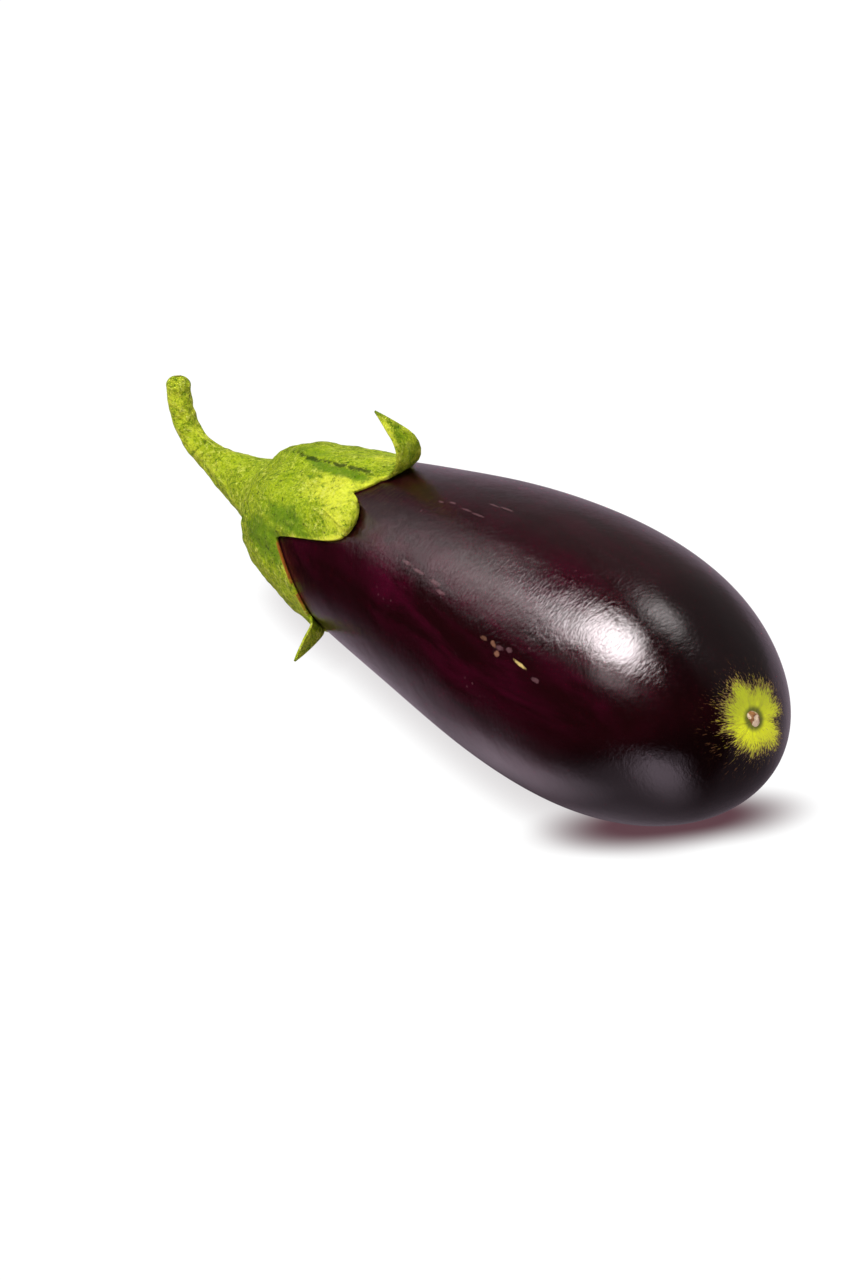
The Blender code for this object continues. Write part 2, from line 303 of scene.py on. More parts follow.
class Graph:
    """A node graph, with a short call for each kind of node that the finishes use."""

    def __init__(self, owner: bpy.types.Material | bpy.types.World) -> None:
        """Takes the owner's node tree, with the shader that it starts with.

        Args:
            owner: The material or the world.
        """
        owner.use_nodes = True
        self.owner = owner
        self.tree = owner.node_tree
        self.shader = self.tree.nodes.get("Principled BSDF") or self.tree.nodes["Background"]

    @classmethod
    def material(cls, name: str) -> "Graph":
        """The graph of a new material of that name."""
        return cls(bpy.data.materials.new(name))

    def node(self, kind: str, inputs: Inputs | None = None, **settings: str | int | bool) -> bpy.types.Node:
        """Adds a node.

        Args:
            kind: The node's type.
            inputs: What its inputs get, by their names or numbers.
            **settings: Its own settings, by name.

        Returns:
            The node.
        """
        made = self.tree.nodes.new(kind)
        for key, value in settings.items():
            setattr(made, key, value)
        for key, value in (inputs or {}).items():
            self.put(made.inputs[key], value)
        return made

    def put(self, socket: Socket, value: Value | Color) -> None:
        """Links an output to an input, or sets the input to a number or a colour.

        Args:
            socket: The input.
            value: What it gets.
        """
        if isinstance(value, Socket):
            self.tree.links.new(value, socket)
        else:
            socket.default_value = (*value, 1.0) if socket.type == "RGBA" else value

    def place(self) -> Socket:
        """The point being shaded, in the object's own coordinates."""
        return self.node("ShaderNodeTexCoord").outputs["Object"]

    def value_of(self, attribute: str) -> Socket:
        """A value stored on the mesh."""
        return self.node("ShaderNodeAttribute", attribute_name=attribute).outputs["Fac"]

    # Numbers -----------------------------------------------------------------------------------

    def math(self, operation: str, a: Value, b: Value = 0.0, c: Value = 0.0) -> Socket:
        """The result of a Math node."""
        return self.node("ShaderNodeMath", {0: a, 1: b, 2: c}, operation=operation).outputs[0]

    def times(self, *numbers: Value) -> Socket:
        """The product of the numbers."""
        return reduce(partial(self.math, "MULTIPLY"), numbers)

    def linear(self, value: Value, factor: Value, offset: Value) -> Socket:
        """The value times factor, plus offset."""
        return self.math("MULTIPLY_ADD", value, factor, offset)

    def swung(self, value: Value, pattern: Socket, swing: float) -> Socket:
        """The value, moved up and down by a pattern of noise over a range of that swing."""
        return self.linear(self.math("SUBTRACT", pattern, 0.5), swing, value)

    def choose(self, share: Value, first: Value, second: Value) -> Socket:
        """A number between first and second, by share."""
        return self.linear(share, self.math("SUBTRACT", second, first), first)

    def span(self, value: Value, low: float, high: float, to: Span = (0.0, 1.0)) -> Socket:
        """The value, taken smoothly from low..high to the range given, and held outside it."""
        inputs = {"Value": value, "From Min": low, "From Max": high, "To Min": to[0], "To Max": to[1]}
        return self.node("ShaderNodeMapRange", inputs, interpolation_type="SMOOTHSTEP").outputs["Result"]

    # Vectors -----------------------------------------------------------------------------------

    def vector(self, operation: str, a: Socket, b: Paint = (0.0, 0.0, 0.0)) -> Socket:
        """The result of a Vector Math node, which is a vector or a number."""
        made = self.node("ShaderNodeVectorMath", {0: a, 1: b}, operation=operation)
        return made.outputs["Value" if operation in ("LENGTH", "DOT_PRODUCT") else "Vector"]

    def scaled(self, vector: Color, length: Socket) -> Socket:
        """A fixed vector times a length."""
        return self.node("ShaderNodeVectorMath", {0: vector, "Scale": length}, operation="SCALE").outputs[0]

    def component(self, vector: Socket, axis: str) -> Socket:
        """The vector's X, Y or Z."""
        return self.node("ShaderNodeSeparateXYZ", {0: vector}).outputs[axis]

    def stretched(self, place: Socket, scale: Color, turn: Color = (0.0, 0.0, 0.0)) -> Socket:
        """The place, scaled along each axis and then turned by those angles in radians."""
        inputs = {"Vector": place, "Rotation": turn, "Scale": scale}
        return self.node("ShaderNodeMapping", inputs, vector_type="POINT").outputs[0]

    # Colours and surfaces ----------------------------------------------------------------------

    def mix(self, share: Value, first: Paint, second: Paint) -> Socket:
        """The two colours mixed, by the share of the second one."""
        inputs = dict(zip(MIX_INPUTS, (share, first, second)))
        return self.node("ShaderNodeMix", inputs, data_type="RGBA", clamp_factor=True).outputs[MIX_OUTPUT]

    def dots(self, place: Socket, scale: float) -> Socket:
        """Distance to the nearest of many scattered points, of which there are scale to the metre."""
        return self.node("ShaderNodeTexVoronoi", {"Vector": place, "Scale": scale}).outputs["Distance"]

    def relief(self, height: Socket, depth: float, over: Socket | None = None) -> Socket:
        """Bends the surface's normal as a relief would.

        Args:
            height: The relief's height, from about 0 to 1.
            depth: How deep it is, in metres.
            over: Normal of a relief that lies under this one.

        Returns:
            The normal.
        """
        under = {} if over is None else {"Normal": over}
        inputs = {"Strength": 1.0, "Distance": depth, "Height": height, **under}
        return self.node("ShaderNodeBump", inputs).outputs["Normal"]

    def surface(self, color: Socket, roughness: Socket, normal: Socket) -> None:
        """Sets the shader's colour, roughness and normal."""
        for name, value in (("Base Color", color), ("Roughness", roughness), ("Normal", normal)):
            self.put(self.shader.inputs[name], value)

    def dress(self, piece: Piece) -> None:
        """Gives the material to the piece."""
        piece.data.materials.clear()
        piece.data.materials.append(self.owner)


@dataclass(frozen=True)
class Grain:
    """A pattern of noise, with how many lumps it has to the metre: one number, or one for each axis."""

    scale: float | Color
    detail: float = 3.0
    rough: float = 0.55
    twist: float = 0.0

    def at(self, g: Graph, place: Socket) -> Socket:
        """Draws the pattern.

        Args:
            g: The graph.
            place: The place.

        Returns:
            The noise there, from 0 to 1.
        """
        scale = self.scale
        if isinstance(scale, tuple):
            place, scale = g.stretched(place, scale), 1.0
        inputs = {"Vector": place, "Scale": scale, "Detail": self.detail, "Roughness": self.rough}
        return g.node("ShaderNodeTexNoise", inputs | {"Distortion": self.twist}).outputs["Fac"]


# ---------------------------------------------------------------------------------------------
# Finishes
# ---------------------------------------------------------------------------------------------


@dataclass(frozen=True)
class Fleck:
    """A pale corky mark on the skin, with its half length and half width in metres."""

    run: float
    turn: float
    length: float
    width: float
    color: Color
    cover: float = 0.20
    slant: float = 0.0


@dataclass(frozen=True)
class Rays:
    """Noise drawn out from the blossom scar into rays, spokes fine and broken along their length."""

    spokes: float
    breaks: float
    grain: Grain = Grain(1.0, 3.0, 0.62)

    def at(self, g: Graph, direction: Socket, radius: Socket) -> Socket:
        """Draws the rays.

        Args:
            g: The graph.
            direction: Unit vector from the scar's middle.
            radius: Distance from it.

        Returns:
            The noise there, from 0 to 1.
        """
        around = g.vector("MULTIPLY", direction, (self.spokes, self.spokes, self.spokes))
        shift = g.scaled((self.breaks, self.breaks * 0.3, 0.0), radius)
        return self.grain.at(g, g.vector("ADD", around, shift))


@dataclass(frozen=True)
class BlossomFinish:
    """The ragged green patch round the blossom scar, made limier and lighter below by painted light, with a
    ring of painted shade in the dimple round the scar and dashes strewn past its edge.
    """

    green: Color = (0.34, 0.40, 0.005)
    # The limier colour serves the patch's mottling and, on its lower side, painted light.
    mottle_and_lit_lime: Color = (0.84, 0.90, 0.004)
    fringe: Color = (0.115, 0.050, 0.018)
    dimple_shade_olive: Color = (0.045, 0.060, 0.006)
    dash: Color = (0.36, 0.30, 0.030)
    radius: float = 0.0088
    reaches: Grain = Grain(1.6, 2.0, 0.5)
    reach_swing: float = 0.010
    fringe_width: float = 0.0052
    rays: Rays = Rays(26.0, 950.0)
    ray_swing: float = 2.6
    edge: Span = (0.45, 0.10)
    tone: Grain = Grain(160.0)
    # The direction below and its edge mark the lower side, where painted light makes the patch lighter.
    below: Color = (-0.52, 0.0, 0.856)
    lit_below_edge: Span = (0.005, -0.004)
    fringe_edge: Span = (-0.50, 0.30)
    # The ring round the scar is painted shade in the dimple, a darker green laid over the patch.
    ring_edge: Span = (0.0040, 0.0024)
    dimple_shade_cover: float = 0.85
    dashes: Rays = Rays(30.0, 620.0)
    dash_edge: Span = (0.585, 0.68)
    dash_reach: Span = (0.0185, 0.0105)
    dash_fades: Span = (0.0105, 0.0140)
    front_depth: float = -0.03

    def over(self, g: Graph, place: Socket, color: Socket) -> tuple[Socket, Socket]:
        """Lays the patch and its dashes over the skin.

        Args:
            g: The skin's graph.
            place: The place on the skin.
            color: The skin's colour.

        Returns:
            The colour with them, and the patch's share.
        """
        pole, out = BERRY.blossom()
        offset = g.vector("SUBTRACT", place, tuple(pole))
        depth = g.vector("DOT_PRODUCT", offset, tuple(out))
        flat = g.vector("SUBTRACT", offset, g.scaled(tuple(out), depth))
        radius = g.vector("LENGTH", flat)
        direction = g.vector("NORMALIZE", flat)
        front = g.math("GREATER_THAN", depth, self.front_depth)
        reach = g.swung(self.radius, self.reaches.at(g, direction), self.reach_swing)
        far = g.math("DIVIDE", g.math("SUBTRACT", radius, reach), self.fringe_width)
        far = g.swung(far, self.rays.at(g, direction, radius), self.ray_swing)
        patch = g.span(far, *self.edge)
        color = g.mix(g.times(patch, front), color, self.patch_color(g, place, flat, radius, far))
        seen = g.span(self.dashes.at(g, direction, radius), *self.dash_edge)
        share = g.times(seen, g.span(radius, *self.dash_reach), front)
        dash = g.mix(g.span(radius, *self.dash_fades), self.dash, self.fringe)
        return g.mix(share, color, dash), patch

    def patch_color(self, g: Graph, place: Socket, flat: Socket, radius: Socket, far: Socket) -> Socket:
        """Colours the patch: mottled green, limier and lighter below as painted light, brown at its fringe,
        and darker green round the scar as painted shade in the dimple.

        Args:
            g: The skin's graph.
            place: The place on the skin.
            flat: Offset from the scar's middle, across the berry's end.
            radius: Its length.
            far: How far out the place is, 0 at the patch's plain edge and 1 past its fringe.

        Returns:
            The colour.
        """
        # painted light: the patch is made limier and lighter towards its lower side
        below = g.span(g.vector("DOT_PRODUCT", flat, self.below), *self.lit_below_edge)
        share = g.linear(self.tone.at(g, place), 0.5, g.times(below, 0.6))
        green = g.mix(share, self.green, self.mottle_and_lit_lime)
        green = g.mix(g.span(far, *self.fringe_edge), green, self.fringe)
        # painted shade: a darker green ring in the dimple round the scar
        return g.mix(g.times(g.span(radius, *self.ring_edge), self.dimple_shade_cover), green, self.dimple_shade_olive)


@dataclass(frozen=True)
class SkinFinish:
    """Waxy aubergine skin: near black, redder where it is thin, with pale marks and a green blossom end."""

    night: Color = (0.0040, 0.0007, 0.0009)
    deep: Color = (0.0105, 0.0010, 0.0018)
    flush: Color = (0.056, 0.0012, 0.0125)
    deep_flush: float = 0.12
    streaks: Grain = Grain((20.0, 130.0, 130.0), 6.0, 0.68, 0.5)
    streak_edge: Span = (0.36, 0.64)
    blotches: Grain = Grain(60.0, 4.0, 0.6, 0.4)
    blotch_edge: Span = (0.30, 0.66)
    blotch_strength: Span = (0.55, 1.20)
    specks: Color = (0.17, 0.085, 0.095)
    speck_scale: float = 420.0
    speck_edge: Span = (0.20, 0.08)
    speck_areas: Grain = Grain(55.0, 2.0)
    speck_area_edge: Span = (0.58, 0.70)
    speck_cover: float = 0.35
    roughness: float = 0.155
    bloom: Grain = Grain((260.0, 900.0, 900.0), 2.0, 0.6)
    bloom_swing: float = 0.10
    patch_roughness: float = 0.38
    ior: float = 1.5
    hatch: Grain = Grain((1450.0, 680.0, 680.0), 4.0, 0.65, 0.6)
    hatch_slant: Color = (0.0, 0.10, 0.12)
    hatch_depth: float = 0.000132
    waves: Grain = Grain((560.0, 300.0, 300.0), 3.0, 0.6, 0.4)
    wave_depth: float = 0.00006
    swells: Grain = Grain((40.0, 55.0, 55.0), 2.0, 0.5)
    swell_depth: float = 0.0005
    worn: Grain = Grain(45.0)
    worn_edge: Span = (0.35, 0.65)
    worn_strength: Span = (0.55, 1.0)
    taut_edge: Span = (0.065, 0.040)
    taut_strength: Span = (0.60, 1.15)
    blossom: BlossomFinish = BlossomFinish()
    fleck_grain: Grain = Grain(900.0, 3.0, 0.7)
    fleck_swing: float = 3.2
    fleck_edge: Span = (1.5, 0.0)
    fleck_reach: float = 0.01
    pink: Color = (0.40, 0.20, 0.22)
    tan: Color = (0.42, 0.20, 0.12)
    straw: Color = (0.64, 0.49, 0.17)
    flecks: tuple[Fleck, ...] = (
        Fleck(0.1702, 297.0, 0.0024, 0.00048, straw, 0.95, -10.0),
        Fleck(0.1615, 296.2, 0.0010, 0.0008, tan, 0.42),
        Fleck(0.1592, 299.0, 0.0012, 0.00065, tan, 0.38, -20.0),
        Fleck(0.1618, 298.9, 0.0014, 0.0007, pink),
        Fleck(0.1552, 299.2, 0.0012, 0.0006, tan, 0.25),
        Fleck(0.1652, 300.0, 0.0011, 0.0007, pink),
        Fleck(0.1768, 294.2, 0.0014, 0.0006, pink),
        Fleck(0.1152, 310.5, 0.0020, 0.0005, pink),
        Fleck(0.1215, 309.5, 0.0028, 0.0005, pink),
        Fleck(0.1295, 308.6, 0.0026, 0.0006, pink),
        Fleck(0.1331, 306.2, 0.0022, 0.0005, pink),
        Fleck(0.1099, 343.5, 0.0012, 0.0004, pink, 0.18),
        Fleck(0.1144, 345.0, 0.0015, 0.0004, pink, 0.18),
        Fleck(0.1208, 343.8, 0.0022, 0.0004, pink, 0.18),
        Fleck(0.1262, 343.4, 0.0028, 0.0004, pink, 0.18),
        Fleck(0.1271, 351.7, 0.0028, 0.0003, pink, 0.18),
        Fleck(0.1318, 352.3, 0.0026, 0.0004, pink, 0.18),
    )

    def material(self) -> Graph:
        """Makes the skin's material.

        Returns:
            Its graph.
        """
        g = Graph.material("waxy_skin")
        place = g.place()
        color = self.with_flecks(g, place, self.body_color(g, place))
        color, patch = self.blossom.over(g, place, color)
        lowest = self.roughness - self.bloom_swing / 2
        rough = g.linear(self.bloom.at(g, place), self.bloom_swing, lowest)
        g.surface(color, g.linear(patch, self.patch_roughness, rough), self.wrinkles(g, place))
        g.shader.inputs["IOR"].default_value = self.ior
        return g

    def body_color(self, g: Graph, place: Socket) -> Socket:
        """Colours the berry: deep purple, redder streaks that run along it, and fine pale specks.

        Args:
            g: The graph.
            place: The place on the skin.

        Returns:
            The colour.
        """
        streaks = g.span(self.streaks.at(g, place), *self.streak_edge)
        blotches = g.span(self.blotches.at(g, place), *self.blotch_edge, self.blotch_strength)
        redness = g.value_of("flush")
        color = g.mix(g.span(redness, 0.0, self.deep_flush), self.night, self.deep)
        color = g.mix(g.times(streaks, blotches, redness), color, self.flush)
        dots = g.span(g.dots(place, self.speck_scale), *self.speck_edge)
        areas = g.span(self.speck_areas.at(g, place), *self.speck_area_edge)
        return g.mix(g.times(dots, areas, self.speck_cover), color, self.specks)

    def with_flecks(self, g: Graph, place: Socket, color: Socket) -> Socket:
        """Lays each pale mark over the colour.

        Args:
            g: The graph.
            place: The place on the skin.
            color: The colour without them.

        Returns:
            The colour with them.
        """
        uneven = g.linear(self.fleck_grain.at(g, place), self.fleck_swing, -self.fleck_swing / 2)
        for fleck in self.flecks:
            turn = np.array(math.radians(fleck.turn))
            middle, ahead, normal = BERRY.skin_frame(np.array(fleck.run), turn)
            aside = np.cross(normal, ahead)
            cos, sin = math.cos(math.radians(fleck.slant)), math.sin(math.radians(fleck.slant))
            length, width = ahead * cos + aside * sin, aside * cos - ahead * sin
            offset = g.vector("SUBTRACT", place, tuple(middle))
            along = g.math("DIVIDE", g.vector("DOT_PRODUCT", offset, tuple(length)), fleck.length)
            across = g.math("DIVIDE", g.vector("DOT_PRODUCT", offset, tuple(width)), fleck.width)
            near = g.math("LESS_THAN", g.vector("LENGTH", offset), self.fleck_reach)
            squares = g.math("ADD", g.times(along, along), g.times(across, across))
            mark = g.span(g.math("ADD", squares, uneven), *self.fleck_edge, (0.0, fleck.cover))
            color = g.mix(g.times(mark, near), color, fleck.color)
        return color

    def wrinkles(self, g: Graph, place: Socket) -> Socket:
        """Bends the normal with fine wrinkles, fewer towards the taut blossom end.

        Args:
            g: The graph.
            place: The place on the skin.

        Returns:
            The normal.
        """
        hatch = self.hatch.at(g, g.stretched(place, UNSCALED, self.hatch_slant))
        worn = g.span(self.worn.at(g, place), *self.worn_edge, self.worn_strength)
        taut = g.span(g.component(place, "X"), *self.taut_edge, self.taut_strength)
        normal = g.relief(self.swells.at(g, place), self.swell_depth)
        normal = g.relief(self.waves.at(g, place), self.wave_depth, normal)
        return g.relief(g.times(hatch, g.times(worn, taut)), self.hatch_depth, normal)


@dataclass(frozen=True)
class FleshPattern:
    """The patterns that the calyx's colour and its relief share; rugged is how crumpled it is at a spot, and
    the crumples' hollows and crests carry painted shade and painted light.
    """

    drawn: Socket
    grain: Socket
    broad: Socket
    crumple: Socket
    rugged: Socket
    slit: Socket


@dataclass(frozen=True)
class CalyxFinish:
    """Matt, grainy green flesh, yellower towards its edges, with dark pits, pale hairs and fine furrows,
    painted shade in the hollows of its crumples, painted light on their crests, and painted shade along the
    top lobe's furrow.
    """

    green: Color = (0.310, 0.400, 0.006)
    # deep is the dark green of the deep areas, veins and dark grain, and also the painted shade in the
    # crumples' hollows.
    deep: Color = (0.085, 0.180, 0.002)
    yellow: Color = (0.640, 0.680, 0.040)
    # pale is the colour of the pale hairs, and also the painted light on the crumples' crests.
    pale: Color = (0.720, 0.760, 0.130)
    pit: Color = (0.020, 0.036, 0.002)
    rim: Color = (0.290, 0.090, 0.012)
    draw: Color = (0.7, 1.0, 1.0)
    grain: Grain = Grain(1500.0, 3.0, 0.70, 0.3)
    grain_depth: float = 0.00030
    grain_edge: Span = (0.49, 0.36)
    broad: Grain = Grain(260.0, 4.0, 0.60, 0.4)
    broad_depth: float = 0.00110
    crumple: Grain = Grain(640.0, 4.0, 0.68, 0.5)
    crumple_depth: float = 0.00130
    # The crumples' hollows are darkened as painted shade and their crests lightened as painted light.
    shaded_hollow_edge: Span = (0.475, 0.35)
    shaded_hollow_cover: float = 0.80
    lit_crest_edge: Span = (0.53, 0.64)
    lit_crest_cover: float = 0.60
    rugged: Grain = Grain(120.0, 2.0, 0.6)
    rugged_edge: Span = (0.40, 0.60)
    rugged_strength: Span = (0.35, 1.15)
    yellow_swing: float = 1.3
    yellow_edge: Span = (0.15, 0.85)
    yellow_calm: float = 0.45
    deep_swing: float = -1.6
    deep_edge: Span = (0.10, 0.85)
    deep_cover: float = 0.82
    deep_dims: float = 0.75
    veins: Grain = Grain((130.0, 620.0, 620.0), 3.0, 0.6, 0.3)
    vein_edge: Span = (0.56, 0.70)
    vein_cover: float = 0.35
    hairs: Grain = Grain(1500.0, 3.0, 0.7, 0.2)
    hair_edge: Span = (0.55, 0.68)
    hair_cover: float = 0.40
    pits: Grain = Grain(900.0, 2.0, 0.6)
    pit_edge: Span = (0.60, 0.70)
    pit_cover: float = 0.75
    rim_edge: Span = (0.40, 0.55)
    slit_width: float = 0.00060
    slit_wander: float = 0.0020
    slit_breaks: Grain = Grain(400.0, 2.0)
    slit_break_edge: Span = (0.40, 0.52)
    # The furrow's dark line is painted shade, laid in the pits' colour.
    slit_shade_cover: float = 0.9
    slit_depth: float = 0.00035
    crease_length: float = 0.0017
    crease_wander: float = 0.006
    crease_depth: float = 0.00022
    roughness: float = 0.66
    roughness_swing: float = 0.2
    glow_weight: float = 0.10
    glow_radius: Color = (0.8, 1.0, 0.2)
    glow_scale: float = 0.0008
    specular: float = 0.14

    def material(self) -> Graph:
        """Makes the calyx's material.

        Returns:
            Its graph.
        """
        g = Graph.material("downy_calyx")
        drawn = g.stretched(g.place(), self.draw)
        grain, broad, crumple = (pattern.at(g, drawn) for pattern in (self.grain, self.broad, self.crumple))
        rugged = g.span(self.rugged.at(g, g.place()), *self.rugged_edge, self.rugged_strength)
        p = FleshPattern(drawn, grain, broad, crumple, rugged, self.slit(g, broad))
        lowest = self.roughness - self.roughness_swing / 2
        rough = g.linear(p.grain, self.roughness_swing, lowest)
        g.surface(self.flesh_color(g, p), rough, self.normal(g, p))
        for name, value in (
            ("Subsurface Weight", self.glow_weight), ("Subsurface Radius", self.glow_radius),
            ("Subsurface Scale", self.glow_scale), ("Specular IOR Level", self.specular),
        ):
            g.shader.inputs[name].default_value = value
        return g

    def flesh_color(self, g: Graph, p: FleshPattern) -> Socket:
        """Colours the flesh: green, yellow and deep green areas under pale hairs and dark pits, with painted
        shade in the crumples' hollows, painted light on their crests and painted shade along the furrow.

        Args:
            g: The graph.
            p: The flesh's patterns.

        Returns:
            The colour.
        """
        yellow = g.span(g.swung(g.value_of("yellow"), p.broad, self.yellow_swing), *self.yellow_edge)
        deep = g.span(g.swung(g.value_of("deep"), p.broad, self.deep_swing), *self.deep_edge)
        shaded_hollows = g.span(p.crumple, *self.shaded_hollow_edge, (0.0, self.shaded_hollow_cover))
        lit_crests = g.span(p.crumple, *self.lit_crest_edge, (0.0, self.lit_crest_cover))
        veins = g.span(self.veins.at(g, p.drawn), *self.vein_edge)
        hairs = g.span(self.hairs.at(g, p.drawn), *self.hair_edge)
        pits = g.span(self.pits.at(g, p.drawn), *self.pit_edge)
        lighter = g.linear(deep, -self.deep_dims, 1.0)
        calm = g.linear(yellow, -self.yellow_calm, self.pit_cover)
        color = g.mix(yellow, self.green, self.yellow)
        for share, layer in (
            (g.times(deep, self.deep_cover), self.deep),
            (g.times(veins, self.vein_cover), self.deep),
            # painted shade in the crumples' hollows, then painted light on their crests
            (g.times(shaded_hollows, p.rugged), self.deep),
            (g.times(lit_crests, lighter, p.rugged), self.pale),
            (g.times(hairs, self.hair_cover, lighter), self.pale),
            (g.times(g.span(p.grain, *self.grain_edge), calm), self.deep),
            (g.times(pits, calm), self.pit),
            # painted shade along the furrow on the top lobe
            (g.times(p.slit, self.slit_shade_cover), self.pit),
            (g.times(g.value_of("rim"), g.span(p.broad, *self.rim_edge)), self.rim),
        ):
            color = g.mix(share, color, layer)
        return color

    def normal(self, g: Graph, p: FleshPattern) -> Socket:
        """Bends the normal with the flesh's unevenness, creases, crumples, slit and grain.

        Args:
            g: The graph.
            p: The flesh's patterns.

        Returns:
            The normal.
        """
        creases = g.times(self.creases(g, p.broad), g.value_of("creased"))
        normal = g.relief(creases, self.crease_depth, g.relief(p.broad, self.broad_depth))
        normal = g.relief(g.times(p.crumple, p.rugged), self.crumple_depth, normal)
        normal = g.relief(p.slit, -self.slit_depth, normal)
        return g.relief(p.grain, self.grain_depth, normal)

    def slit(self, g: Graph, broad: Socket) -> Socket:
        """Draws the broken furrow that runs along the top lobe's rib; its dark line is painted shade over a
        shallow dip.

        Args:
            g: The graph.
            broad: The flesh's broad pattern.

        Returns:
            The furrow's share.
        """
        aside = g.swung(g.value_of("furrow"), broad, self.slit_wander)
        line = g.span(g.math("ABSOLUTE", aside), self.slit_width * 1.6, self.slit_width * 0.4)
        broken = g.span(self.slit_breaks.at(g, g.place()), *self.slit_break_edge)
        return g.times(line, broken, g.value_of("furrowed"))

    def creases(self, g: Graph, broad: Socket) -> Socket:
        """Wrinkles across the flesh where the stalk spreads into the cap."""
        wandering = g.linear(broad, self.crease_wander, g.value_of("run"))
        return g.math("SINE", g.times(wandering, 2 * math.pi / self.crease_length))


@dataclass(frozen=True)
class CutFinish:
    """The stalk's dried cut face: a brown-green rim, a pale woody ring and green pith."""

    bark: Color = (0.16, 0.17, 0.03)
    ring: Color = (0.62, 0.56, 0.27)
    pith: Color = (0.30, 0.36, 0.10)
    scar: Color = (0.42, 0.30, 0.16)
    wobble: Grain = Grain(900.0)
    wobble_swing: float = 0.22
    ring_edge: Span = (0.18, 0.30)
    pith_edge: Span = (0.48, 0.60)
    scar_edge: Span = (0.80, 0.95)
    scar_cover: float = 0.7
    speckle: Grain = Grain(2600.0, 2.0)
    speckle_edge: Span = (0.42, 0.70)
    speckle_cover: float = 0.35
    pores: Grain = Grain(1600.0, 4.0, 0.7)
    pore_depth: float = 0.00025
    roughness: float = 0.6
    roughness_swing: float = 0.2

    def material(self) -> Graph:
        """Makes the cut face's material.

        Returns:
            Its graph.
        """
        g = Graph.material("cut_stalk")
        place = g.place()
        inward = g.swung(g.value_of("inward"), self.wobble.at(g, place), self.wobble_swing)
        color = g.mix(g.span(inward, *self.ring_edge), self.bark, self.ring)
        color = g.mix(g.span(inward, *self.pith_edge), color, self.pith)
        color = g.mix(g.times(g.span(inward, *self.scar_edge), self.scar_cover), color, self.scar)
        speckle = g.span(self.speckle.at(g, place), *self.speckle_edge)
        color = g.mix(g.times(speckle, self.speckle_cover), color, self.scar)
        rough = g.linear(speckle, self.roughness_swing, self.roughness)
        g.surface(color, rough, g.relief(self.pores.at(g, place), self.pore_depth))
        return g


@dataclass(frozen=True)
class CorkFinish:
    """The corky scar of the fallen flower, with pale knobs that are partly its own colour and partly a
    painted highlight.
    """

    # pale is partly the cork's own colour and partly a painted highlight on its knobs.
    pale: Color = (0.74, 0.58, 0.40)
    tan: Color = (0.27, 0.115, 0.035)
    dark: Color = (0.055, 0.022, 0.007)
    knobs: Grain = Grain(620.0, 3.0, 0.6)
    pale_and_highlit_knob_edge: Span = (0.45, 0.55)
    creases: Grain = Grain(1500.0, 3.0, 0.6)
    crease_edge: Span = (0.58, 0.70)
    crease_cover: float = 0.7
    pores: Grain = Grain(2000.0)
    pore_depth: float = 0.0002
    roughness: float = 0.6
    roughness_swing: float = 0.2

    def material(self) -> Graph:
        """Makes the cork's material.

        Returns:
            Its graph.
        """
        g = Graph.material("corky_scar")
        place = g.place()
        knobs = self.knobs.at(g, place)
        # pale knobs: the cork's own colour, partly a painted highlight
        color = g.mix(g.span(knobs, *self.pale_and_highlit_knob_edge), self.tan, self.pale)
        creases = g.span(self.creases.at(g, place), *self.crease_edge)
        color = g.mix(g.times(creases, self.crease_cover), color, self.dark)
        rough = g.linear(knobs, self.roughness_swing, self.roughness)
        g.surface(color, rough, g.relief(self.pores.at(g, place), self.pore_depth))
        return g


# ---------------------------------------------------------------------------------------------
# The fruit
# ---------------------------------------------------------------------------------------------


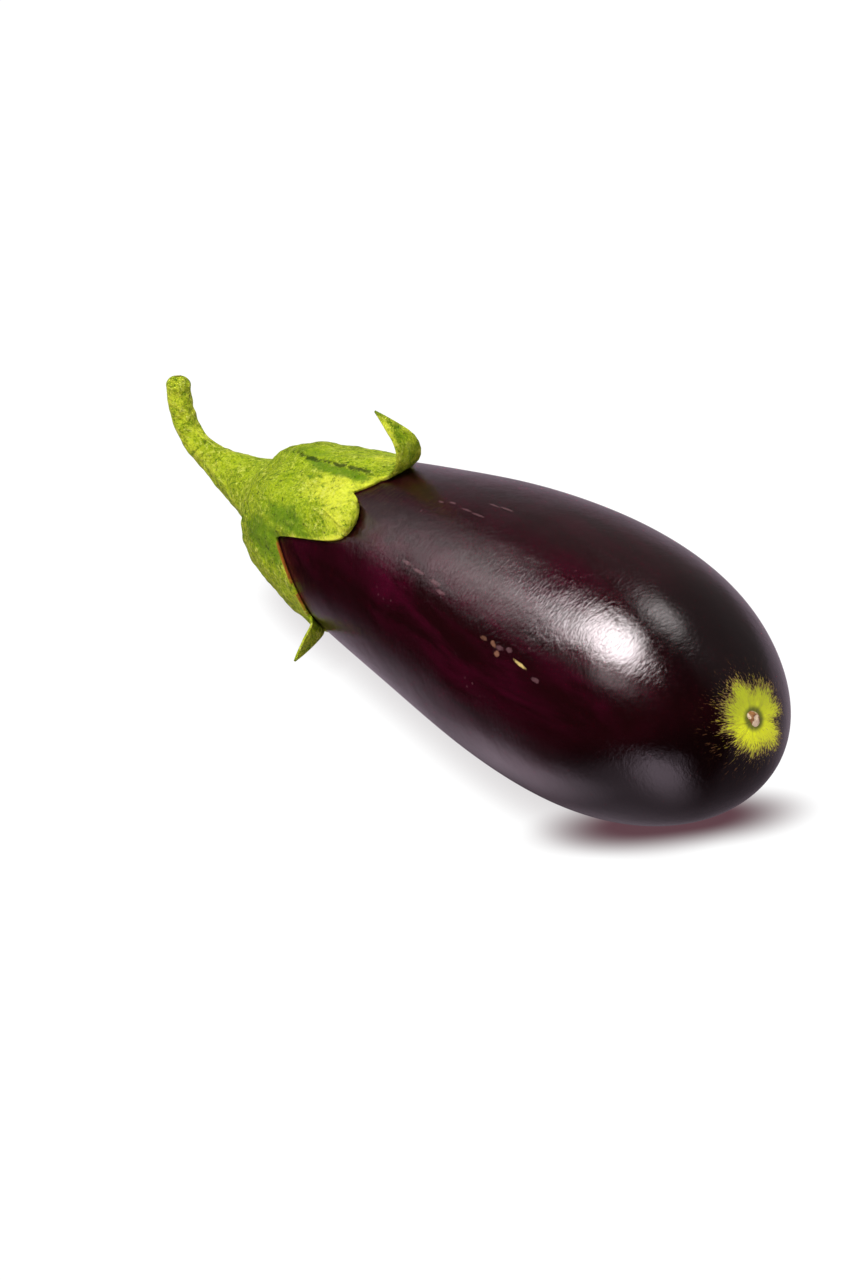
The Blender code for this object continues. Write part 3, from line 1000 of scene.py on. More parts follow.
@dataclass
class Fruit:
    """The berry's skin and its blossom scar."""

    rings: int = 250
    sides: int = 288
    lump_height: float = 0.00016
    lump_size: float = 0.030
    pucker_height: float = 0.00008
    pucker_ring: Span = (0.0045, 0.0022)
    finish: SkinFinish = field(default_factory=SkinFinish)
    cork: CorkFinish = field(default_factory=CorkFinish)
    scar_radius: float = 0.0022
    scar_height: float = 0.0009
    scar_rings: int = 26
    scar_sides: int = 64
    knob_size: float = 0.0011
    knob_height: float = 0.00042
    hollow_width: float = 0.28
    hollow_share: float = 0.45
    scar_tuck: float = 0.0004

    def build(self) -> list[Piece]:
        """Makes the skin and the scar."""
        return [self.make_skin(), self.make_scar()]

    def dimple(self, radius: Array) -> Array:
        """How far the skin is drawn in at that distance from the blossom end's middle."""
        return BERRY.dimple_depth * np.exp(-((radius / BERRY.dimple_radius) ** 2))

    def flush(self, u: Array, turn: Array) -> Array:
        """How much red shows through the skin: most on the flanks and by the calyx.

        Args:
            u: Where each vertex lies along the berry.
            turn: Where it lies round it.

        Returns:
            The share of red, from 0 to 1.
        """
        degrees = np.degrees(turn)
        s = np.sin(u)
        by_neck = 1 - ease((s + 0.20) / 0.25)
        flank = 0.60 * bump(degrees, 300 + 9 * by_neck, 21 - 8 * by_neck) + 0.5 * bump(degrees, 75, 30)
        begins = ease((s + 0.42) / 0.30)
        fades = 1 - 0.45 * ease((s - 0.30) / 0.3)
        ends = 1 - 0.8 * ease((s - 0.80) / 0.12)
        crown = 0.09 * (bump(degrees, 360, 42) + bump(degrees, 0, 42))
        crown_fades = 1 - 0.7 * ease((s - 0.5) / 0.4)
        neck = 0.27 * bump(s, -0.66, 0.25)
        overall = 0.16 * (1 - ease((s - 0.45) / 0.3))
        return np.clip(flank * (begins * fades * ends) + crown * crown_fades + neck + overall, 0, 1)

    def make_skin(self) -> Piece:
        """Makes the skin, flat where it rests and drawn in round the blossom scar.

        Returns:
            The piece.
        """
        u = np.linspace(-QUARTER, QUARTER, self.rings + 2)[1:-1]
        turn = np.linspace(0, 2 * math.pi, self.sides, endpoint=False)
        u, turn = np.meshgrid(u, turn, indexing="ij")
        points = BERRY.ring_point(u, turn)
        outward = unit(points - BERRY.ring_point(u, turn + math.pi))
        points += (lumps(points, self.lump_size) * self.lump_height * np.cos(u))[..., None] * outward
        pole, out = BERRY.blossom()
        offset = points - BERRY.rest - pole
        radius = np.linalg.norm(offset - (offset @ out)[..., None] * out, axis=-1)
        puckers = np.cos(9 * turn + 1.3) + 0.6 * np.cos(17 * turn)
        drawn = np.where(u > 0, self.dimple(radius), 0)
        drawn += np.where(u > 0, self.pucker_height * puckers * bump(radius, *self.pucker_ring), 0)
        points -= drawn[..., None] * out
        points -= BERRY.rest
        points[..., 2] = np.maximum(points[..., 2], 0)
        blossom_end = BERRY.end(1)[0] - BERRY.dimple_depth * out
        piece = make_mesh("fruit_skin", points, BERRY.end(-1)[0], blossom_end)
        paint(piece, "flush", self.flush(u, turn))
        self.finish.material().dress(piece)
        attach(piece, BODY)
        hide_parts("fruit")
        return piece

    def make_scar(self) -> Piece:
        """Makes the knobbly corky button in the middle of the dimple.

        Returns:
            The piece.
        """
        pole, out = BERRY.blossom()
        up = np.cross(out, SIDEWAYS)
        share = np.linspace(0, 1, self.scar_rings + 1)[1:]
        turn = np.linspace(0, 2 * math.pi, self.scar_sides, endpoint=False)
        share, turn = np.meshgrid(share, turn, indexing="ij")
        outline = 1 + 0.16 * np.cos(2 * turn + 0.7) + 0.09 * np.cos(3 * turn + 2.0)
        radius = self.scar_radius * share * outline
        across = radius[..., None] * (np.cos(turn)[..., None] * up + np.sin(turn)[..., None] * SIDEWAYS)
        dome = self.scar_height * (1 - share**2.6)
        knobs = lumps(across + pole, self.knob_size, 5.0) * (1 - share**4)
        hollow = -self.hollow_share * bump(share, 0.0, self.hollow_width)
        height = dome + self.knob_height * knobs + self.scar_height * hollow - BERRY.dimple_depth
        height -= self.scar_tuck * share**6
        points = pole + across + height[..., None] * out
        top = pole + (self.scar_height * 0.4 - BERRY.dimple_depth) * out
        piece = make_mesh("blossom_scar", points[::-1], None, top)
        self.cork.material().dress(piece)
        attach(piece, BODY)
        return piece


# ---------------------------------------------------------------------------------------------
# The calyx and its stalk
# ---------------------------------------------------------------------------------------------


@dataclass(frozen=True)
class Lobe:
    """One of the calyx's five lobes: where it lies, its flesh, and the tip that folds away from the skin.

    Turns and angles are in degrees. The fold's crest crosses the lobe's middle line at fold, is turned
    by slant and rounded off to its sides, and the tip past it bends through curl, out towards lean.
    fullness tells how round the outline is before and after the tip: 0 is an S curve and 1 an arch.
    """

    turn: float
    fold: float
    slant: float
    rounding: float
    lean: float
    fold_radius: float
    curl: float
    tip: float
    half_width: float
    flesh: float
    fullness: Span = (0.8, 0.8)
    tip_fullness: float = 1.2

    @property
    def reach(self) -> float:
        """Length of the lobe past its fold."""
        return self.fold_radius * math.radians(self.curl) + self.tip

    def crest(self, aside: Array) -> Array:
        """Run of the fold's crest at that distance to the side of the lobe's middle line."""
        aside = np.clip(aside, -self.half_width, self.half_width)
        return self.fold - math.tan(math.radians(self.slant)) * aside - self.rounding * aside**2


@dataclass(frozen=True)
class Notch:
    """The bay between two lobes."""

    turn: float
    run: float


@dataclass
class Columns:
    """The calyx's columns, once round: each runs from the stalk's cut end down to the rim.

    aside is a column's distance from its lobe's middle line, and near is 0 at a notch and 1 on that line.
    """

    turn: Array
    rim: Array
    aside: Array
    near: Array
    lobe: Array

    @property
    def count(self) -> int:
        """How many columns there are."""
        return len(self.turn)


@dataclass
class Calyx:
    """The calyx, which grew in one with its stalk, and the stalk's cut face."""

    gap: float = 0.0003
    lobes: tuple[Lobe, ...] = (
        Lobe(357, 0.0802, 14, 60, 14, 0.0072, 137, 0.0102, 0.0060, 0.0022, (0.9, 0.3), 1.3),
        Lobe(80, 0.066, 0, 40, 0, 0.0035, 100, 0.008, 0.0050, 0.0020),
        Lobe(152, 0.056, 0, 20, 0, 0.0100, 12, 0.006, 0.0050, 0.0012),
        Lobe(234, 0.0610, -10, 30, 0, 0.0030, 80, 0.0105, 0.0040, 0.0014, (0.8, 1.0)),
        Lobe(318.5, 0.0843, 19, 120, 4, 0.0021, 178, 0.0137, 0.0052, 0.0018, (0.0, 1.0)),
    )
    notches: tuple[Notch, ...] = (
        Notch(44, 0.056),
        Notch(116, 0.050),
        Notch(190, 0.046),
        Notch(287.5, 0.0470),
        Notch(333, 0.0740),
    )
    edge_steps: int = 22
    tip_steps: int = 12
    tip_taper: float = 1.1
    cap_start: float = 0.0150
    cap_rings: int = 100
    cap_crowding: float = 1.6
    notch_flesh: float = 0.0014
    shoulder: float = 0.45
    shoulder_rise: float = 0.0085
    shoulder_run: float = 0.032
    shoulder_fall: float = 0.018
    valley: float = 0.35
    thinning: float = 0.35
    fold_thinning: float = 0.25
    fold_length: float = 0.006
    rim_thickness: float = 0.0008
    inner_rings: int = 6
    inside_skip: int = 3
    stalk_tip: Color = (-0.0474, 0.0010, 0.0201)
    stalk_way: Color = (-0.325, 0.198, 0.93)
    stalk_leaves: float = 0.036
    stalk_rises: float = 0.021
    stalk_radius: float = 0.0037
    stalk_swell: float = 0.0020
    swell_power: int = 6
    stalk_foot: float = 0.26
    stalk_rings: int = 70
    stalk_yellow: float = 0.42
    ridge_heights: Span = (0.00012, 0.00006)
    fillet_rings: int = 26
    fillet_pull: float = 0.007
    cut_bevel: float = 0.0028
    bevel_rings: int = 8
    cut_rings: int = 14
    cut_height: float = 0.00012
    cut_hollow: float = 0.00035
    cut_middle: float = 0.0002
    cut_roughness: float = 0.00012
    stalk_lumps: float = 0.00018
    cap_lumps: float = 0.00040
    fine_lumps: float = 0.00026
    drawn_lumps: float = 0.00030
    finish: CalyxFinish = field(default_factory=CalyxFinish)
    cut: CutFinish = field(default_factory=CutFinish)

    def build(self) -> list[Piece]:
        """Makes the calyx and the stalk's cut face."""
        columns = self.columns()
        return [self.make_flesh(columns), self.make_cut(columns)]

    # Outline ---------------------------------------------------------------------------------

    def lobe_side(self, lobe: Lobe, notch: Notch, fullness: float) -> tuple[Array, Array, Array, Array]:
        """Half a lobe's outline, from the notch beside it to its tip.

        Args:
            lobe: The lobe.
            notch: The notch on the side wanted.
            fullness: How round the outline is on that side.

        Returns:
            Each column's turn, the rim's run, the distance from the lobe's middle and how near that is.
        """
        radius = float(BERRY.radius_at(lobe.fold))
        away = math.radians((notch.turn - lobe.turn + 180) % 360 - 180)
        half_turn = math.copysign(lobe.half_width / radius, away)
        corner = float(lobe.crest(np.array(half_turn * radius)))
        part = np.arange(self.edge_steps) / self.edge_steps
        arch = fullness * np.sin(QUARTER * part) + (1 - fullness) * ease(part)
        left = away + (half_turn - away) * part
        rim = notch.run + (corner - notch.run) * arch
        part = np.arange(self.tip_steps + 1) / self.tip_steps
        left = np.concatenate([left, half_turn * (1 - part**lobe.tip_fullness)])
        rim = np.concatenate([rim, corner + (lobe.fold + lobe.reach - corner) * part**self.tip_taper])
        return math.radians(lobe.turn) + left, rim, left * radius, 1 - left / away

    def columns(self) -> Columns:
        """The columns of the whole calyx.

        Returns:
            The columns, once round.
        """
        parts = []
        for i, lobe in enumerate(self.lobes):
            before = self.lobe_side(lobe, self.notches[i - 1], lobe.fullness[0])
            after = self.lobe_side(lobe, self.notches[i], lobe.fullness[1])
            for side, cut in ((before, slice(None, -1)), (after, slice(None, 0, -1))):
                values = [value[cut] for value in side]
                parts.append((*values, np.full(len(values[0]), i)))
        return Columns(*(np.concatenate(values) for values in zip(*parts)))

    def of_lobe(self, c: Columns, name: str) -> Array:
        """A value of each column's lobe."""
        return np.array([getattr(lobe, name) for lobe in self.lobes])[c.lobe]

    # Cap -------------------------------------------------------------------------------------

    def past_crest(self, c: Columns, run: Array) -> Array:
        """How far each run is past its column's crest, below 0 before it."""
        return run - np.choose(c.lobe, [lobe.crest(c.aside) for lobe in self.lobes])

    def thickness(self, c: Columns, run: Array) -> Array:
        """How thick the calyx is.

        Args:
            c: The columns.
            run: Runs on each of them.

        Returns:
            The thickness at each run.
        """
        inside = ease((c.rim - run) / (c.rim - self.cap_start))
        rise = ease((run - self.cap_start) / self.shoulder_rise)
        shoulder = self.shoulder * rise * (1 - ease((run - self.shoulder_run) / self.shoulder_fall))
        body = self.notch_flesh + (self.of_lobe(c, "flesh") - self.notch_flesh) * ease(c.near)
        body = body * (1 + shoulder) * (1 - self.valley * (1 - rise))
        body = body * (1 - self.fold_thinning * ease(self.past_crest(c, run) / self.fold_length + 1))
        return self.rim_thickness + body * inside**self.thinning

    def cap_point(self, c: Columns, run: Array, height: Array) -> Array:
        """Points of the calyx over the skin, or over the folded lobe past its fold.

        Args:
            c: The columns.
            run: Runs on each of them.
            height: How far over the skin or the folded lobe the points lie.

        Returns:
            The points.
        """
        lean = np.radians(self.of_lobe(c, "lean"))
        radius, curl = self.of_lobe(c, "fold_radius"), np.radians(self.of_lobe(c, "curl"))
        beyond = np.maximum(self.past_crest(c, run), 0)
        base, ahead, normal = BERRY.skin_frame(run - beyond, np.broadcast_to(c.turn, run.shape))
        aside = np.cross(normal, ahead)
        outwards = ahead * np.cos(lean)[:, None] + aside * np.sin(lean)[:, None]
        bend = np.minimum(beyond / radius, curl)
        straight = beyond - bend * radius
        forward = radius * np.sin(bend) + straight * np.cos(bend)
        upward = radius * (1 - np.cos(bend)) + straight * np.sin(bend)
        facing = normal * np.cos(bend)[..., None] - outwards * np.sin(bend)[..., None]
        return base + outwards * forward[..., None] + normal * upward[..., None] + facing * height[..., None]

    def cap(self, c: Columns) -> tuple[Array, Array, Array]:
        """The cap from its start to the rim.

        Args:
            c: The columns.

        Returns:
            The rings of its outside and of its inside, and their runs.
        """
        share = 1 - (1 - np.arange(self.cap_rings + 1) / self.cap_rings) ** self.cap_crowding
        run = self.cap_start + (c.rim - self.cap_start) * share[:, None]
        outside = self.cap_point(c, run, self.gap + self.thickness(c, run))
        inside = self.cap_point(c, run, np.full_like(run, self.gap))
        return outside, inside, run

    # Stalk -----------------------------------------------------------------------------------

    def stalk_line(self) -> Array:
        """The stalk's middle line.

        Returns:
            Its four control points, from the berry's stem end to the cut end.
        """
        foot, back = BERRY.end(-1)
        tip = foot + np.array(self.stalk_tip)
        rising = unit(np.array(self.stalk_way)) * self.stalk_rises
        return np.array([foot, foot + back * self.stalk_leaves, tip - rising, tip])

    def stalk_ring(self, c: Columns, t: float, radius: Array | float) -> Array:
        """A ring of the stalk.

        Args:
            c: The columns.
            t: Where it is, 0 at the stalk's foot and 1 at its cut end.
            radius: Its radius, or one for each column.

        Returns:
            The ring's points.
        """
        line = self.stalk_line()
        along = unit(bezier(line, t + 0.01) - bezier(line, t - 0.01))
        up = unit(np.cross(SIDEWAYS, along))
        side = np.cross(along, up)
        around = np.cos(c.turn)[:, None] * up + np.sin(c.turn)[:, None] * side
        return bezier(line, t) + np.broadcast_to(radius, c.turn.shape)[:, None] * around

    def stalk(self, c: Columns) -> Array:
        """The stalk, from its cut end to where it starts to spread into the cap.

        Args:
            c: The columns.

        Returns:
            Its rings.
        """
        length = np.linalg.norm(self.stalk_tip)
        coarse, fine = self.ridge_heights
        ridges = coarse * np.cos(5 * c.turn + 0.6) + fine * np.cos(11 * c.turn)
        rings = []
        for i in range(self.bevel_rings):
            angle = QUARTER * i / self.bevel_rings
            radius = self.stalk_radius - self.cut_bevel * (1 - math.sin(angle))
            rings.append(self.stalk_ring(c, 1 - self.cut_bevel * (1 - math.cos(angle)) / length, radius))
        for i in range(self.stalk_rings + 1):
            done = i / self.stalk_rings
            t = (1 - self.cut_bevel / length) * (1 - done) + self.stalk_foot * done
            swell = self.stalk_swell * ((1 - t) / (1 - self.stalk_foot)) ** self.swell_power
            rings.append(self.stalk_ring(c, t, self.stalk_radius + swell + ridges * ease(done / 0.05)))
        return np.array(rings)

    def fillet(self, c: Columns, stalk: Array, edge: Array) -> Array:
        """Carries the stalk smoothly into the cap.

        Args:
            c: The columns.
            stalk: The stalk's rings.
            edge: The cap's first ring.

        Returns:
            The rings between them.
        """
        leaving = unit(stalk[-1] - stalk[-2])
        _, arriving, _ = BERRY.skin_frame(np.full(c.count, self.cap_start), c.turn)
        curve = (stalk[-1], stalk[-1] + leaving * self.fillet_pull, edge - arriving * self.fillet_pull, edge)
        return np.array([bezier(curve, i / self.fillet_rings) for i in range(1, self.fillet_rings)])

    # Pieces ----------------------------------------------------------------------------------

    def relief(self, points: Array, c: Columns, run: Array) -> Array:
        """How far the flesh stands out from its plain form in lumps, less towards the rim.

        Args:
            points: The outer rings.
            c: The columns.
            run: The run of each point, below 0 on the stalk.

        Returns:
            The height to add along each point's normal.
        """
        broad = np.where(run < 0, self.stalk_lumps, self.cap_lumps)
        lumpy = broad * lumps(points, 0.0075, 3.0) + self.fine_lumps * lumps(points, 0.0026, 8.0)
        lumpy += self.drawn_lumps * lumps(points * np.array([0.35, 1.0, 1.0]), 0.0021, 12.0)
        inside = ease((c.rim - run) / 0.006)
        return lumpy * (0.35 + 0.65 * inside)

    def shades(self, c: Columns, run: Array) -> dict[str, Array]:
        """Where the cap is yellow, deep green, furrowed, creased and brown-rimmed, for its finish.

        Args:
            c: The columns.
            run: The run of each point of the cap's outside.

        Returns:
            The values of each attribute, by its name.
        """
        turn = np.broadcast_to(np.degrees(c.turn) % 360, run.shape)
        top, left, front = (c.lobe == 0), (c.lobe == 3), (c.lobe == 4)

        def aside_of(at_turn: Array | float) -> Array:
            """Degrees from that turn, the short way round."""
            return (turn - at_turn + 180) % 360 - 180

        def spot(height: float, at_run: float, at_turn: Array | float, long: float, wide: float) -> Array:
            """Bell-shaped spot at that run and turn, so long in metres and so wide in degrees."""
            return height * (bump(run, at_run, long) * bump(aside_of(at_turn), 0, wide))

        def rim_band(width: float) -> Array:
            """1 at the rim, falling to 0 at that distance from it."""
            return ease(1 - (c.rim - run) / width)

        past = ease(self.past_crest(c, run) / 0.004 + 0.5)
        tips = ease((run - 0.050) / 0.015)
        yellow = np.maximum.reduce([
            0.40 * rim_band(0.004), 0.8 * rim_band(0.008) * tips * (top | front),
            spot(1.1, 0.068, 330, 0.016, 12), spot(0.80, 0.080, 318, 0.012, 12),
            spot(0.6, 0.074, 3, 0.010, 9), 0.55 * past * front, 0.30 * past,
        ])
        deep = np.maximum.reduce([
            spot(1.25, 0.058, 349 - 6 * ease((run - 0.035) / 0.02), 0.024, 3.2),
            spot(1.0, 0.052, 303, 0.016, 9), spot(1.2, 0.042, 283, 0.014, 13),
            spot(0.6, 0.040, 352, 0.014, 6), 0.35 * past * top,
        ])
        line = aside_of(351.5 - 4 * ease((run - 0.029) / 0.012))
        furrow = np.clip(np.radians(line) * BERRY.radius_at(run), -0.005, 0.005)
        furrowed = ease((run - 0.028) / 0.010) * ease((0.077 - run) / 0.005) * ease(2 - np.abs(line) / 8)
        creased = ease((run - 0.006) / 0.010) * ease((0.042 - run) / 0.014)
        brown = rim_band(0.0006) * left * (turn > 245)
        return {
            "yellow": yellow, "deep": deep, "furrow": furrow,
            "furrowed": furrowed, "creased": creased, "rim": brown,
        }

    def make_flesh(self, c: Columns) -> Piece:
        """Makes the calyx and its stalk, in one.

        Args:
            c: The columns.

        Returns:
            The piece.
        """
        stalk = self.stalk(c)
        outside, inside, run = self.cap(c)
        upper = np.concatenate([stalk, self.fillet(c, stalk, outside[0]), outside])
        spread = len(upper) - len(outside)
        full_run = np.concatenate([np.full((spread, c.count), -0.01), run])
        height = self.relief(upper, c, full_run)
        height[0] = 0
        upper = upper + height[..., None] * grid_normals(upper)
        starts = [self.cap_start * i / (self.inner_rings + 1) for i in range(self.inner_rings, 0, -1)]
        level = np.full(c.count, self.gap)
        inner = [self.cap_point(c, np.full(c.count, start), level) for start in starts]
        rings = np.concatenate([upper, inside[::-self.inside_skip], np.array(inner)])
        stem, back = BERRY.end(-1)
        piece = make_mesh("calyx_flesh", rings, self.stalk_line()[-1], stem + self.gap * back)
        fading = np.repeat(self.stalk_yellow * ease(np.linspace(3, 0, spread))[:, None], c.count, axis=1)
        for name, values in self.shades(c, run).items():
            above = fading if name == "yellow" else np.zeros_like(fading)
            paint(piece, name, np.concatenate([above, values, values[::-self.inside_skip]]))
        paint(piece, "run", full_run)
        self.finish.material().dress(piece)
        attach(piece, BODY)
        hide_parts("calyx")
        return piece

    def make_cut(self, c: Columns) -> Piece:
        """Makes the stalk's cut face, a little hollow and rough.

        Args:
            c: The columns.

        Returns:
            The piece.
        """
        rings = []
        line = self.stalk_line()
        along = unit(bezier(line, 1.0) - bezier(line, 0.99))
        shares = np.arange(self.cut_rings) / self.cut_rings
        for share in shares:
            ring = self.stalk_ring(c, 1, (self.stalk_radius - self.cut_bevel * 0.9) * (1 - share))
            level = self.cut_height - self.cut_hollow * ease((share - 0.15) / 0.5)
            level = level + self.cut_roughness * lumps(ring, 0.0009, 2.0)
            rings.append(ring + level[:, None] * along)
        piece = make_mesh("stalk_cut", np.array(rings)[::-1], line[-1] - self.cut_middle * along, None)
        piece.data.flip_normals()
        paint(piece, "inward", np.append(np.repeat(shares[::-1], c.count), 1.0))
        self.cut.material().dress(piece)
        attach(piece, BODY)
        return piece


# ---------------------------------------------------------------------------------------------
# The studio
# ---------------------------------------------------------------------------------------------


def heading_to(azimuth: float, elevation: float) -> Vector:
    """Unit vector at that azimuth, 0 along -Y and 90 along +X, and that elevation, in degrees."""
    a, e = math.radians(azimuth), math.radians(elevation)
    return Vector((math.sin(a) * math.cos(e), -math.cos(a) * math.cos(e), math.sin(e)))


@dataclass(frozen=True)
class Glow:
    """A soft round light far away for the gloss: full out to core and nil past reach, in degrees."""

    azimuth: float
    elevation: float
    core: float
    reach: float
    strength: float


@dataclass(frozen=True)
class Oval:
    """A soft-edged oval patch on the floor, at its full strength out to core, which is a share of its size.

    Its middle and half sizes are in metres, and heading is the angle of its length from +X in degrees.
    fullness is 1 for an ellipse, and its ends are blunter above that.
    """

    x: float
    y: float
    half_length: float
    half_width: float
    heading: float = 0.0
    core: float = 0.15
    strength: float = 1.0
    fullness: float = 1.0
    reach: float = 1.2

    def share(self, g: Graph, place: Socket) -> Socket:
        """The patch on the floor.

        Args:
            g: The floor's graph.
            place: The place on the floor.

        Returns:
            Its strength there.
        """
        offset = g.vector("SUBTRACT", place, (self.x, self.y, 0.0))
        turned = g.stretched(offset, UNSCALED, (0.0, 0.0, -math.radians(self.heading)))
        shrunk = g.vector("DIVIDE", turned, (self.half_length, self.half_width, 1.0))
        along = g.math("POWER", g.math("ABSOLUTE", g.component(shrunk, "X")), 2 * self.fullness)
        across = g.math("POWER", g.component(shrunk, "Y"), 2.0)
        radius = g.math("SQRT", g.math("ADD", along, across))
        return g.span(radius, self.reach, self.core, (0.0, self.strength))


@dataclass(frozen=True)
class Floor:
    """The pale floor: white, with a tight shadow under the fruit, and with bright pools for the gloss."""

    half: float = 6.0
    white: Color = (1.05, 1.05, 1.05)
    shadow: Color = (0.118, 0.057, 0.070)
    shadow_reach: float = 0.012
    shadow_samples: int = 24
    shadow_edge: Span = (0.92, 0.10)
    # The cast oval and the contact share are painted shadows laid into the floor's colour.
    cast: Oval = Oval(0.0598, 0.0034, 0.0395, 0.0134, 61.8, 0.30, 1.0, 1.32)
    contact_shadow: float = 0.34
    lit: float = 0.80
    pool_color: Color = (1.0, 0.80, 0.96)
    pools: tuple[Oval, ...] = (
        Oval(0.029, -0.044, 0.043, 0.019, -9.0, 0.0, 0.90),
        Oval(-0.059, -0.011, 0.132, 0.044, -33.0, 0.0, 0.39),
        Oval(0.139, -0.114, 0.097, 0.030, -63.0, 0.60, 1.31),
        Oval(0.234, -0.211, 0.260, 0.055, -46.0, 0.60, 0.65),
    )
    pool_opening: Span = (0.0, 0.4)
    near_edge: Span = (-0.04, 0.0)
    near_strength: float = 0.16
    far_edge: Span = (0.03, 0.09)
    far_strength: float = 0.24

    def build(self) -> None:
        """Makes the floor."""
        mesh = bpy.data.meshes.new("floor")
        h = self.half
        mesh.from_pydata([(-h, -h, 0), (h, -h, 0), (h, h, 0), (-h, h, 0)], [], [(0, 1, 2, 3)])
        floor = bpy.data.objects.new("floor", mesh)
        bpy.context.scene.collection.objects.link(floor)
        g = Graph.material("pale_floor")
        place = g.place()
        path = g.node("ShaderNodeLightPath")
        opening = g.node("ShaderNodeAmbientOcclusion", samples=self.shadow_samples)
        opening.inputs["Distance"].default_value = self.shadow_reach
        opened = opening.outputs["AO"]
        mirrored = self.mirrored(g, place, opened)
        strength = g.choose(path.outputs["Is Glossy Ray"], g.times(opened, self.lit), mirrored)
        strength = g.choose(path.outputs["Is Camera Ray"], strength, 1.0)
        glow = g.node("ShaderNodeEmission")
        seen = self.seen(g, place, opened)
        g.put(glow.inputs["Color"], g.mix(path.outputs["Is Camera Ray"], self.pool_color, seen))
        g.put(glow.inputs["Strength"], strength)
        g.tree.links.new(glow.outputs[0], g.tree.nodes["Material Output"].inputs["Surface"])
        g.dress(floor)

    def seen(self, g: Graph, place: Socket, opened: Socket) -> Socket:
        """The floor as it is seen: white, with the cast shadow and the tight one by the fruit.

        Args:
            g: The floor's graph.
            place: The place on the floor.
            opened: How open the floor is there.

        Returns:
            The colour.
        """
        # painted shade: the floor's colour darkens by the fruit, where little is open round it
        contact_shadow = g.span(opened, *self.shadow_edge, (0.0, self.contact_shadow))
        return g.mix(contact_shadow, g.mix(self.cast.share(g, place), self.white, self.shadow), self.shadow)

    def mirrored(self, g: Graph, place: Socket, opened: Socket) -> Socket:
        """The floor as the gloss mirrors it: bright pools between two pale stretches.

        Args:
            g: The floor's graph.
            place: The place on the floor.
            opened: How open the floor is there.

        Returns:
            The strength.
        """
        across = g.component(place, "Y")
        near = g.span(across, *self.near_edge, (0.0, self.near_strength))
        total = g.math("ADD", g.span(across, *self.far_edge, (0.0, self.far_strength)), near)
        for pool in self.pools:
            total = g.math("ADD", total, pool.share(g, place))
        return g.times(total, g.span(opened, *self.pool_opening))


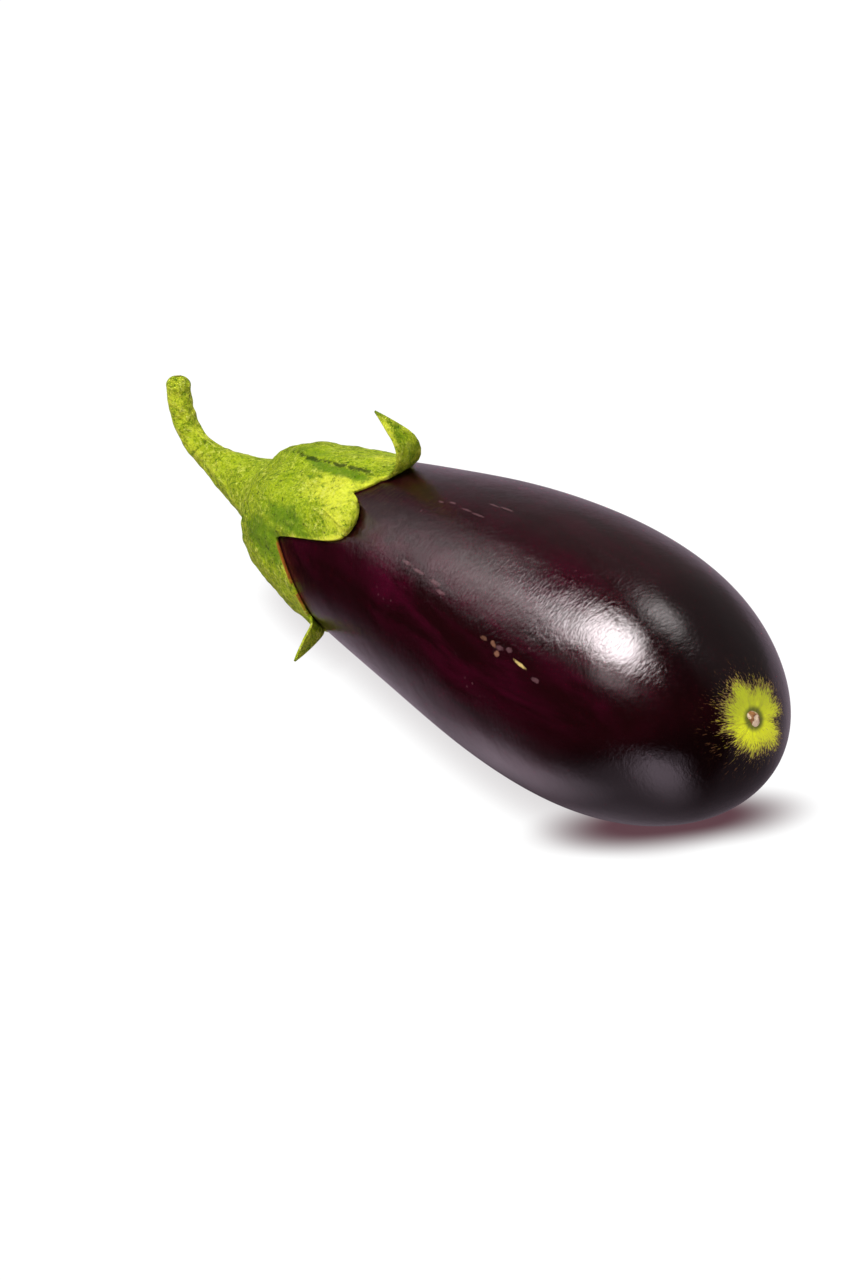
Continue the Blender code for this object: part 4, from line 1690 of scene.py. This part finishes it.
@dataclass
class Studio:
    """White floor, soft light and the camera.

    The camera's view is its heading and pitch in radians, and the middle of its picture lies to the
    right of the rest point and above it.
    """

    heading: float = 0.88666
    pitch: float = 0.58175
    away: float = 1.0
    right: float = 0.01913
    above: float = 0.00936
    lens: float = 100.0
    sensor: float = 36.0
    clip: Span = (0.01, 50.0)
    ambient: float = 0.68
    backdrop: float = 1.05
    key_azimuth: float = -14.0
    key_elevation: float = 62.0
    key_size: float = 0.45
    key_power: float = 6.0
    key_distance: float = 0.9
    room: Span = (0.0, 0.20)
    room_edge: Span = (-0.05, 0.50)
    room_color: Color = (1.0, 0.92, 0.935)
    eye_color: Color = (1.0, 1.0, 1.0)
    glows: tuple[Glow, ...] = (
        Glow(-12.8, 65.2, 10.6, 20.3, 32.0),
        Glow(-39.7, 47.9, 2.2, 11.3, 11.0),
        Glow(-54.8, 35.7, 4.4, 9.1, 3.9),
        Glow(-64, 25.9, 9.0, 17.4, 2.7),
        Glow(-82, 34.5, 4.6, 13.0, 1.9),
        Glow(4.0, 42.3, 0.5, 17.8, 3.0),
        Glow(-176.3, 72.8, 0.5, 14.0, 8.3),
    )
    floor: Floor = field(default_factory=Floor)

    def build(self) -> None:
        """Makes the floor, the lights, the surroundings and the camera."""
        self.floor.build()
        self.make_key()
        self.make_world()
        self.make_camera()
        bpy.context.scene.view_settings.view_transform = "Standard"

    def make_key(self) -> None:
        """Makes the main light on what is matt; the gloss mirrors the glows instead."""
        direction = heading_to(self.key_azimuth, self.key_elevation)
        light = bpy.data.lights.new("key", "AREA")
        light.shape = "DISK"
        light.size = self.key_size
        light.energy = self.key_power
        holder = bpy.data.objects.new("key", light)
        holder.location = direction * self.key_distance
        holder.rotation_mode = "QUATERNION"
        holder.rotation_quaternion = direction.to_track_quat("Z", "Y")
        holder.visible_camera = False
        holder.visible_glossy = False
        bpy.context.scene.collection.objects.link(holder)

    def make_world(self) -> None:
        """Makes the surroundings: white to the eye, even to what is matt, and a dark room to the gloss."""
        world = bpy.data.worlds.new("studio")
        g = Graph(world)
        toward = g.node("ShaderNodeTexCoord").outputs["Generated"]
        mirrored = g.span(g.component(toward, "Y"), *self.room_edge, self.room)
        for glow in self.glows:
            facing = g.vector("DOT_PRODUCT", toward, tuple(heading_to(glow.azimuth, glow.elevation)))
            angle = g.times(g.math("ARCCOSINE", facing), math.degrees(1))
            mirrored = g.math("ADD", mirrored, g.span(angle, glow.reach, glow.core, (0.0, glow.strength)))
        path = g.node("ShaderNodeLightPath")
        strength = g.choose(path.outputs["Is Glossy Ray"], self.ambient, mirrored)
        strength = g.choose(path.outputs["Is Camera Ray"], strength, self.backdrop)
        g.put(g.shader.inputs["Strength"], strength)
        color = g.mix(path.outputs["Is Glossy Ray"], self.eye_color, self.room_color)
        g.put(g.shader.inputs["Color"], color)
        world.cycles.sampling_method = "NONE"
        bpy.context.scene.world = world

    def make_camera(self) -> None:
        """Makes the camera, above and in front, looking down on the berry from its blossom end's side."""
        a, e = self.heading, self.pitch
        right = Vector((math.cos(a), math.sin(a), 0))
        back = Vector((math.sin(a) * math.cos(e), -math.cos(a) * math.cos(e), math.sin(e)))
        up = back.cross(right)
        data = bpy.data.cameras.new("camera")
        data.lens = self.lens
        data.sensor_width = self.sensor
        data.sensor_fit = "AUTO"
        data.clip_start, data.clip_end = self.clip
        place = back * self.away - right * self.right - up * self.above - Vector(BERRY.rest)
        camera = bpy.data.objects.new("camera", data)
        columns = (right, up, back, place)
        camera.matrix_world = Matrix([[v[i] for v in columns] for i in range(3)] + [[0, 0, 0, 1]])
        bpy.context.scene.collection.objects.link(camera)
        bpy.context.scene.camera = camera


# ---------------------------------------------------------------------------------------------
# Assembly
# ---------------------------------------------------------------------------------------------


def main() -> None:
    """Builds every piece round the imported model."""
    logging.basicConfig(level=logging.INFO, format="%(message)s")
    log.info("packed model: %s", ", ".join(sorted(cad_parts)))
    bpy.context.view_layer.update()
    for group in (Fruit(), Calyx()):
        for piece in group.build():
            log.info("%s: %d faces", piece.name, len(piece.data.polygons))
    Studio().build()


if __name__ == "__main__":
    main()
